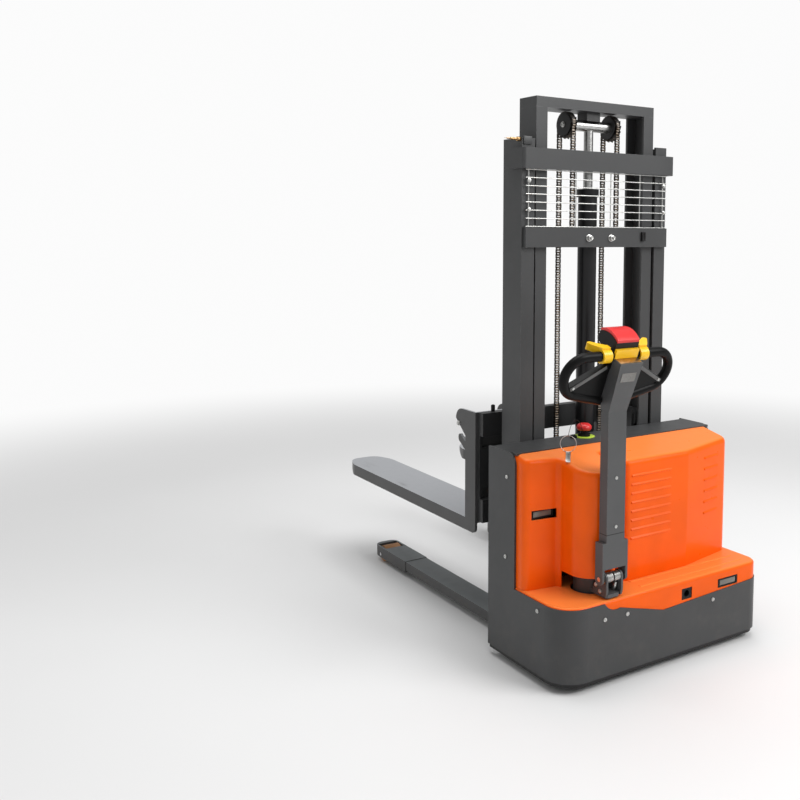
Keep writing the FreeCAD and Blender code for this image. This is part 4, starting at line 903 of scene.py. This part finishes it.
class STACKER_OT_stage(bpy.types.Operator):
    """Pale floor, soft lights and the camera."""

    bl_idname = "stacker.stage"
    bl_label = "Set the stage"

    def floor(self, shade, backdrop):
        """Pale paper that fades into the backdrop."""
        begin()
        bpy.ops.mesh.primitive_plane_add(size=60.0, location=(0, 0, -0.001))
        floor = bpy.context.object
        floor.name = "floor"
        s = Shader("floor_paper")
        s.link(s.surface.inputs["Base Color"], s.mottled(s.noise(0.8, 2.0), shade, 0.985, 1.0))
        s.fixed(Roughness=0.6, Specular_IOR_Level=0.2)
        far = s.add("ShaderNodeVectorMath", {"operation": "LENGTH"}, [s.place])
        fade = Value(s, far.outputs["Value"]).clamped(*FLOOR_FADE)
        glow = s.add("ShaderNodeEmission", {}, [(*backdrop, 1.0), 1.0])
        both = s.add("ShaderNodeMixShader", {}, [fade, s.surface.outputs[0], glow.outputs[0]])
        s.tree.links.new(both.outputs[0], s.output.inputs[0])
        floor.data.materials.append(s.material)

    def room(self, scene, backdrop):
        """White light from all round, with the backdrop's tone where the camera sees it."""
        world = scene.world or bpy.data.worlds.new("room")
        scene.world = world
        world.use_nodes = True
        tree = world.node_tree
        tree.nodes.clear()
        output = tree.nodes.new("ShaderNodeOutputWorld")
        sky = tree.nodes.new("ShaderNodeBackground")
        sky.inputs[0].default_value = (1.0, 1.0, 1.0, 1.0)
        sky.inputs[1].default_value = scene.stacker_sizes.sky
        white = tree.nodes.new("ShaderNodeBackground")
        white.inputs[0].default_value = (*backdrop, 1.0)
        path = tree.nodes.new("ShaderNodeLightPath")
        either = tree.nodes.new("ShaderNodeMath")
        either.operation = "MAXIMUM"
        mix = tree.nodes.new("ShaderNodeMixShader")
        tree.links.new(path.outputs["Is Camera Ray"], either.inputs[0])
        tree.links.new(path.outputs["Is Transmission Ray"], either.inputs[1])
        tree.links.new(either.outputs[0], mix.inputs[0])
        tree.links.new(sky.outputs[0], mix.inputs[1])
        tree.links.new(white.outputs[0], mix.inputs[2])
        tree.links.new(mix.outputs[0], output.inputs[0])

    def camera(self, scene):
        """The camera, with its view shifted to place the machine on the right."""
        bpy.ops.object.camera_add(location=CAMERA_PLACE)
        camera = bpy.context.object
        camera.name = "camera"
        turn, tilt, roll = (Matrix.Rotation(math.radians(angle), 4, axis)
                            for angle, axis in zip(CAMERA_ANGLES, "ZXZ"))
        camera.rotation_euler = (turn @ tilt @ roll).to_euler()
        camera.data.sensor_width = 36.0
        camera.data.lens = CAMERA_LENS
        camera.data.shift_x, camera.data.shift_y = CAMERA_SHIFT
        camera.data.clip_end = 200.0
        scene.camera = camera

    def execute(self, context):
        scene = context.scene
        backdrop = tuple(scene.stacker_colours.backdrop)
        self.floor(tuple(scene.stacker_colours.floor), backdrop)
        self.room(scene, backdrop)
        for name, place, target, size, share in LAMPS:
            soft_lamp(name, place, target, size, scene.stacker_sizes.key * share)
        self.camera(scene)
        scene.view_settings.view_transform = "Standard"
        return {"FINISHED"}


# ---------------------------------------------------------------- panel and start

OPERATORS = (STACKER_OT_finish, STACKER_OT_chains, STACKER_OT_screws, STACKER_OT_switches,
             STACKER_OT_tiller, STACKER_OT_stage)


class STACKER_PT_panel(bpy.types.Panel):
    """Colours, sizes and steps of the stacker."""

    bl_idname = "STACKER_PT_panel"
    bl_label = "Electric stacker"
    bl_space_type = "VIEW_3D"
    bl_region_type = "UI"
    bl_category = "Stacker"

    def draw(self, context):
        for group in (context.scene.stacker_colours, context.scene.stacker_sizes):
            for name in group.bl_rna.properties.keys():
                if name not in ("rna_type", "name"):
                    self.layout.prop(group, name)
        for operator in OPERATORS:
            self.layout.operator(operator.bl_idname)


CLASSES = (StackerColours, StackerSizes, *OPERATORS, STACKER_PT_panel)


def register():
    for item in CLASSES:
        bpy.utils.register_class(item)
    bpy.types.Scene.stacker_colours = bpy.props.PointerProperty(type=StackerColours)
    bpy.types.Scene.stacker_sizes = bpy.props.PointerProperty(type=StackerSizes)


def unregister():
    del bpy.types.Scene.stacker_sizes
    del bpy.types.Scene.stacker_colours
    for item in reversed(CLASSES):
        bpy.utils.unregister_class(item)


def main():
    register()
    bpy.ops.stacker.finish()
    bpy.ops.stacker.chains()
    bpy.ops.stacker.screws()
    bpy.ops.stacker.switches()
    bpy.ops.stacker.tiller()
    bpy.ops.stacker.stage()


if __name__ == "__main__":
    main()
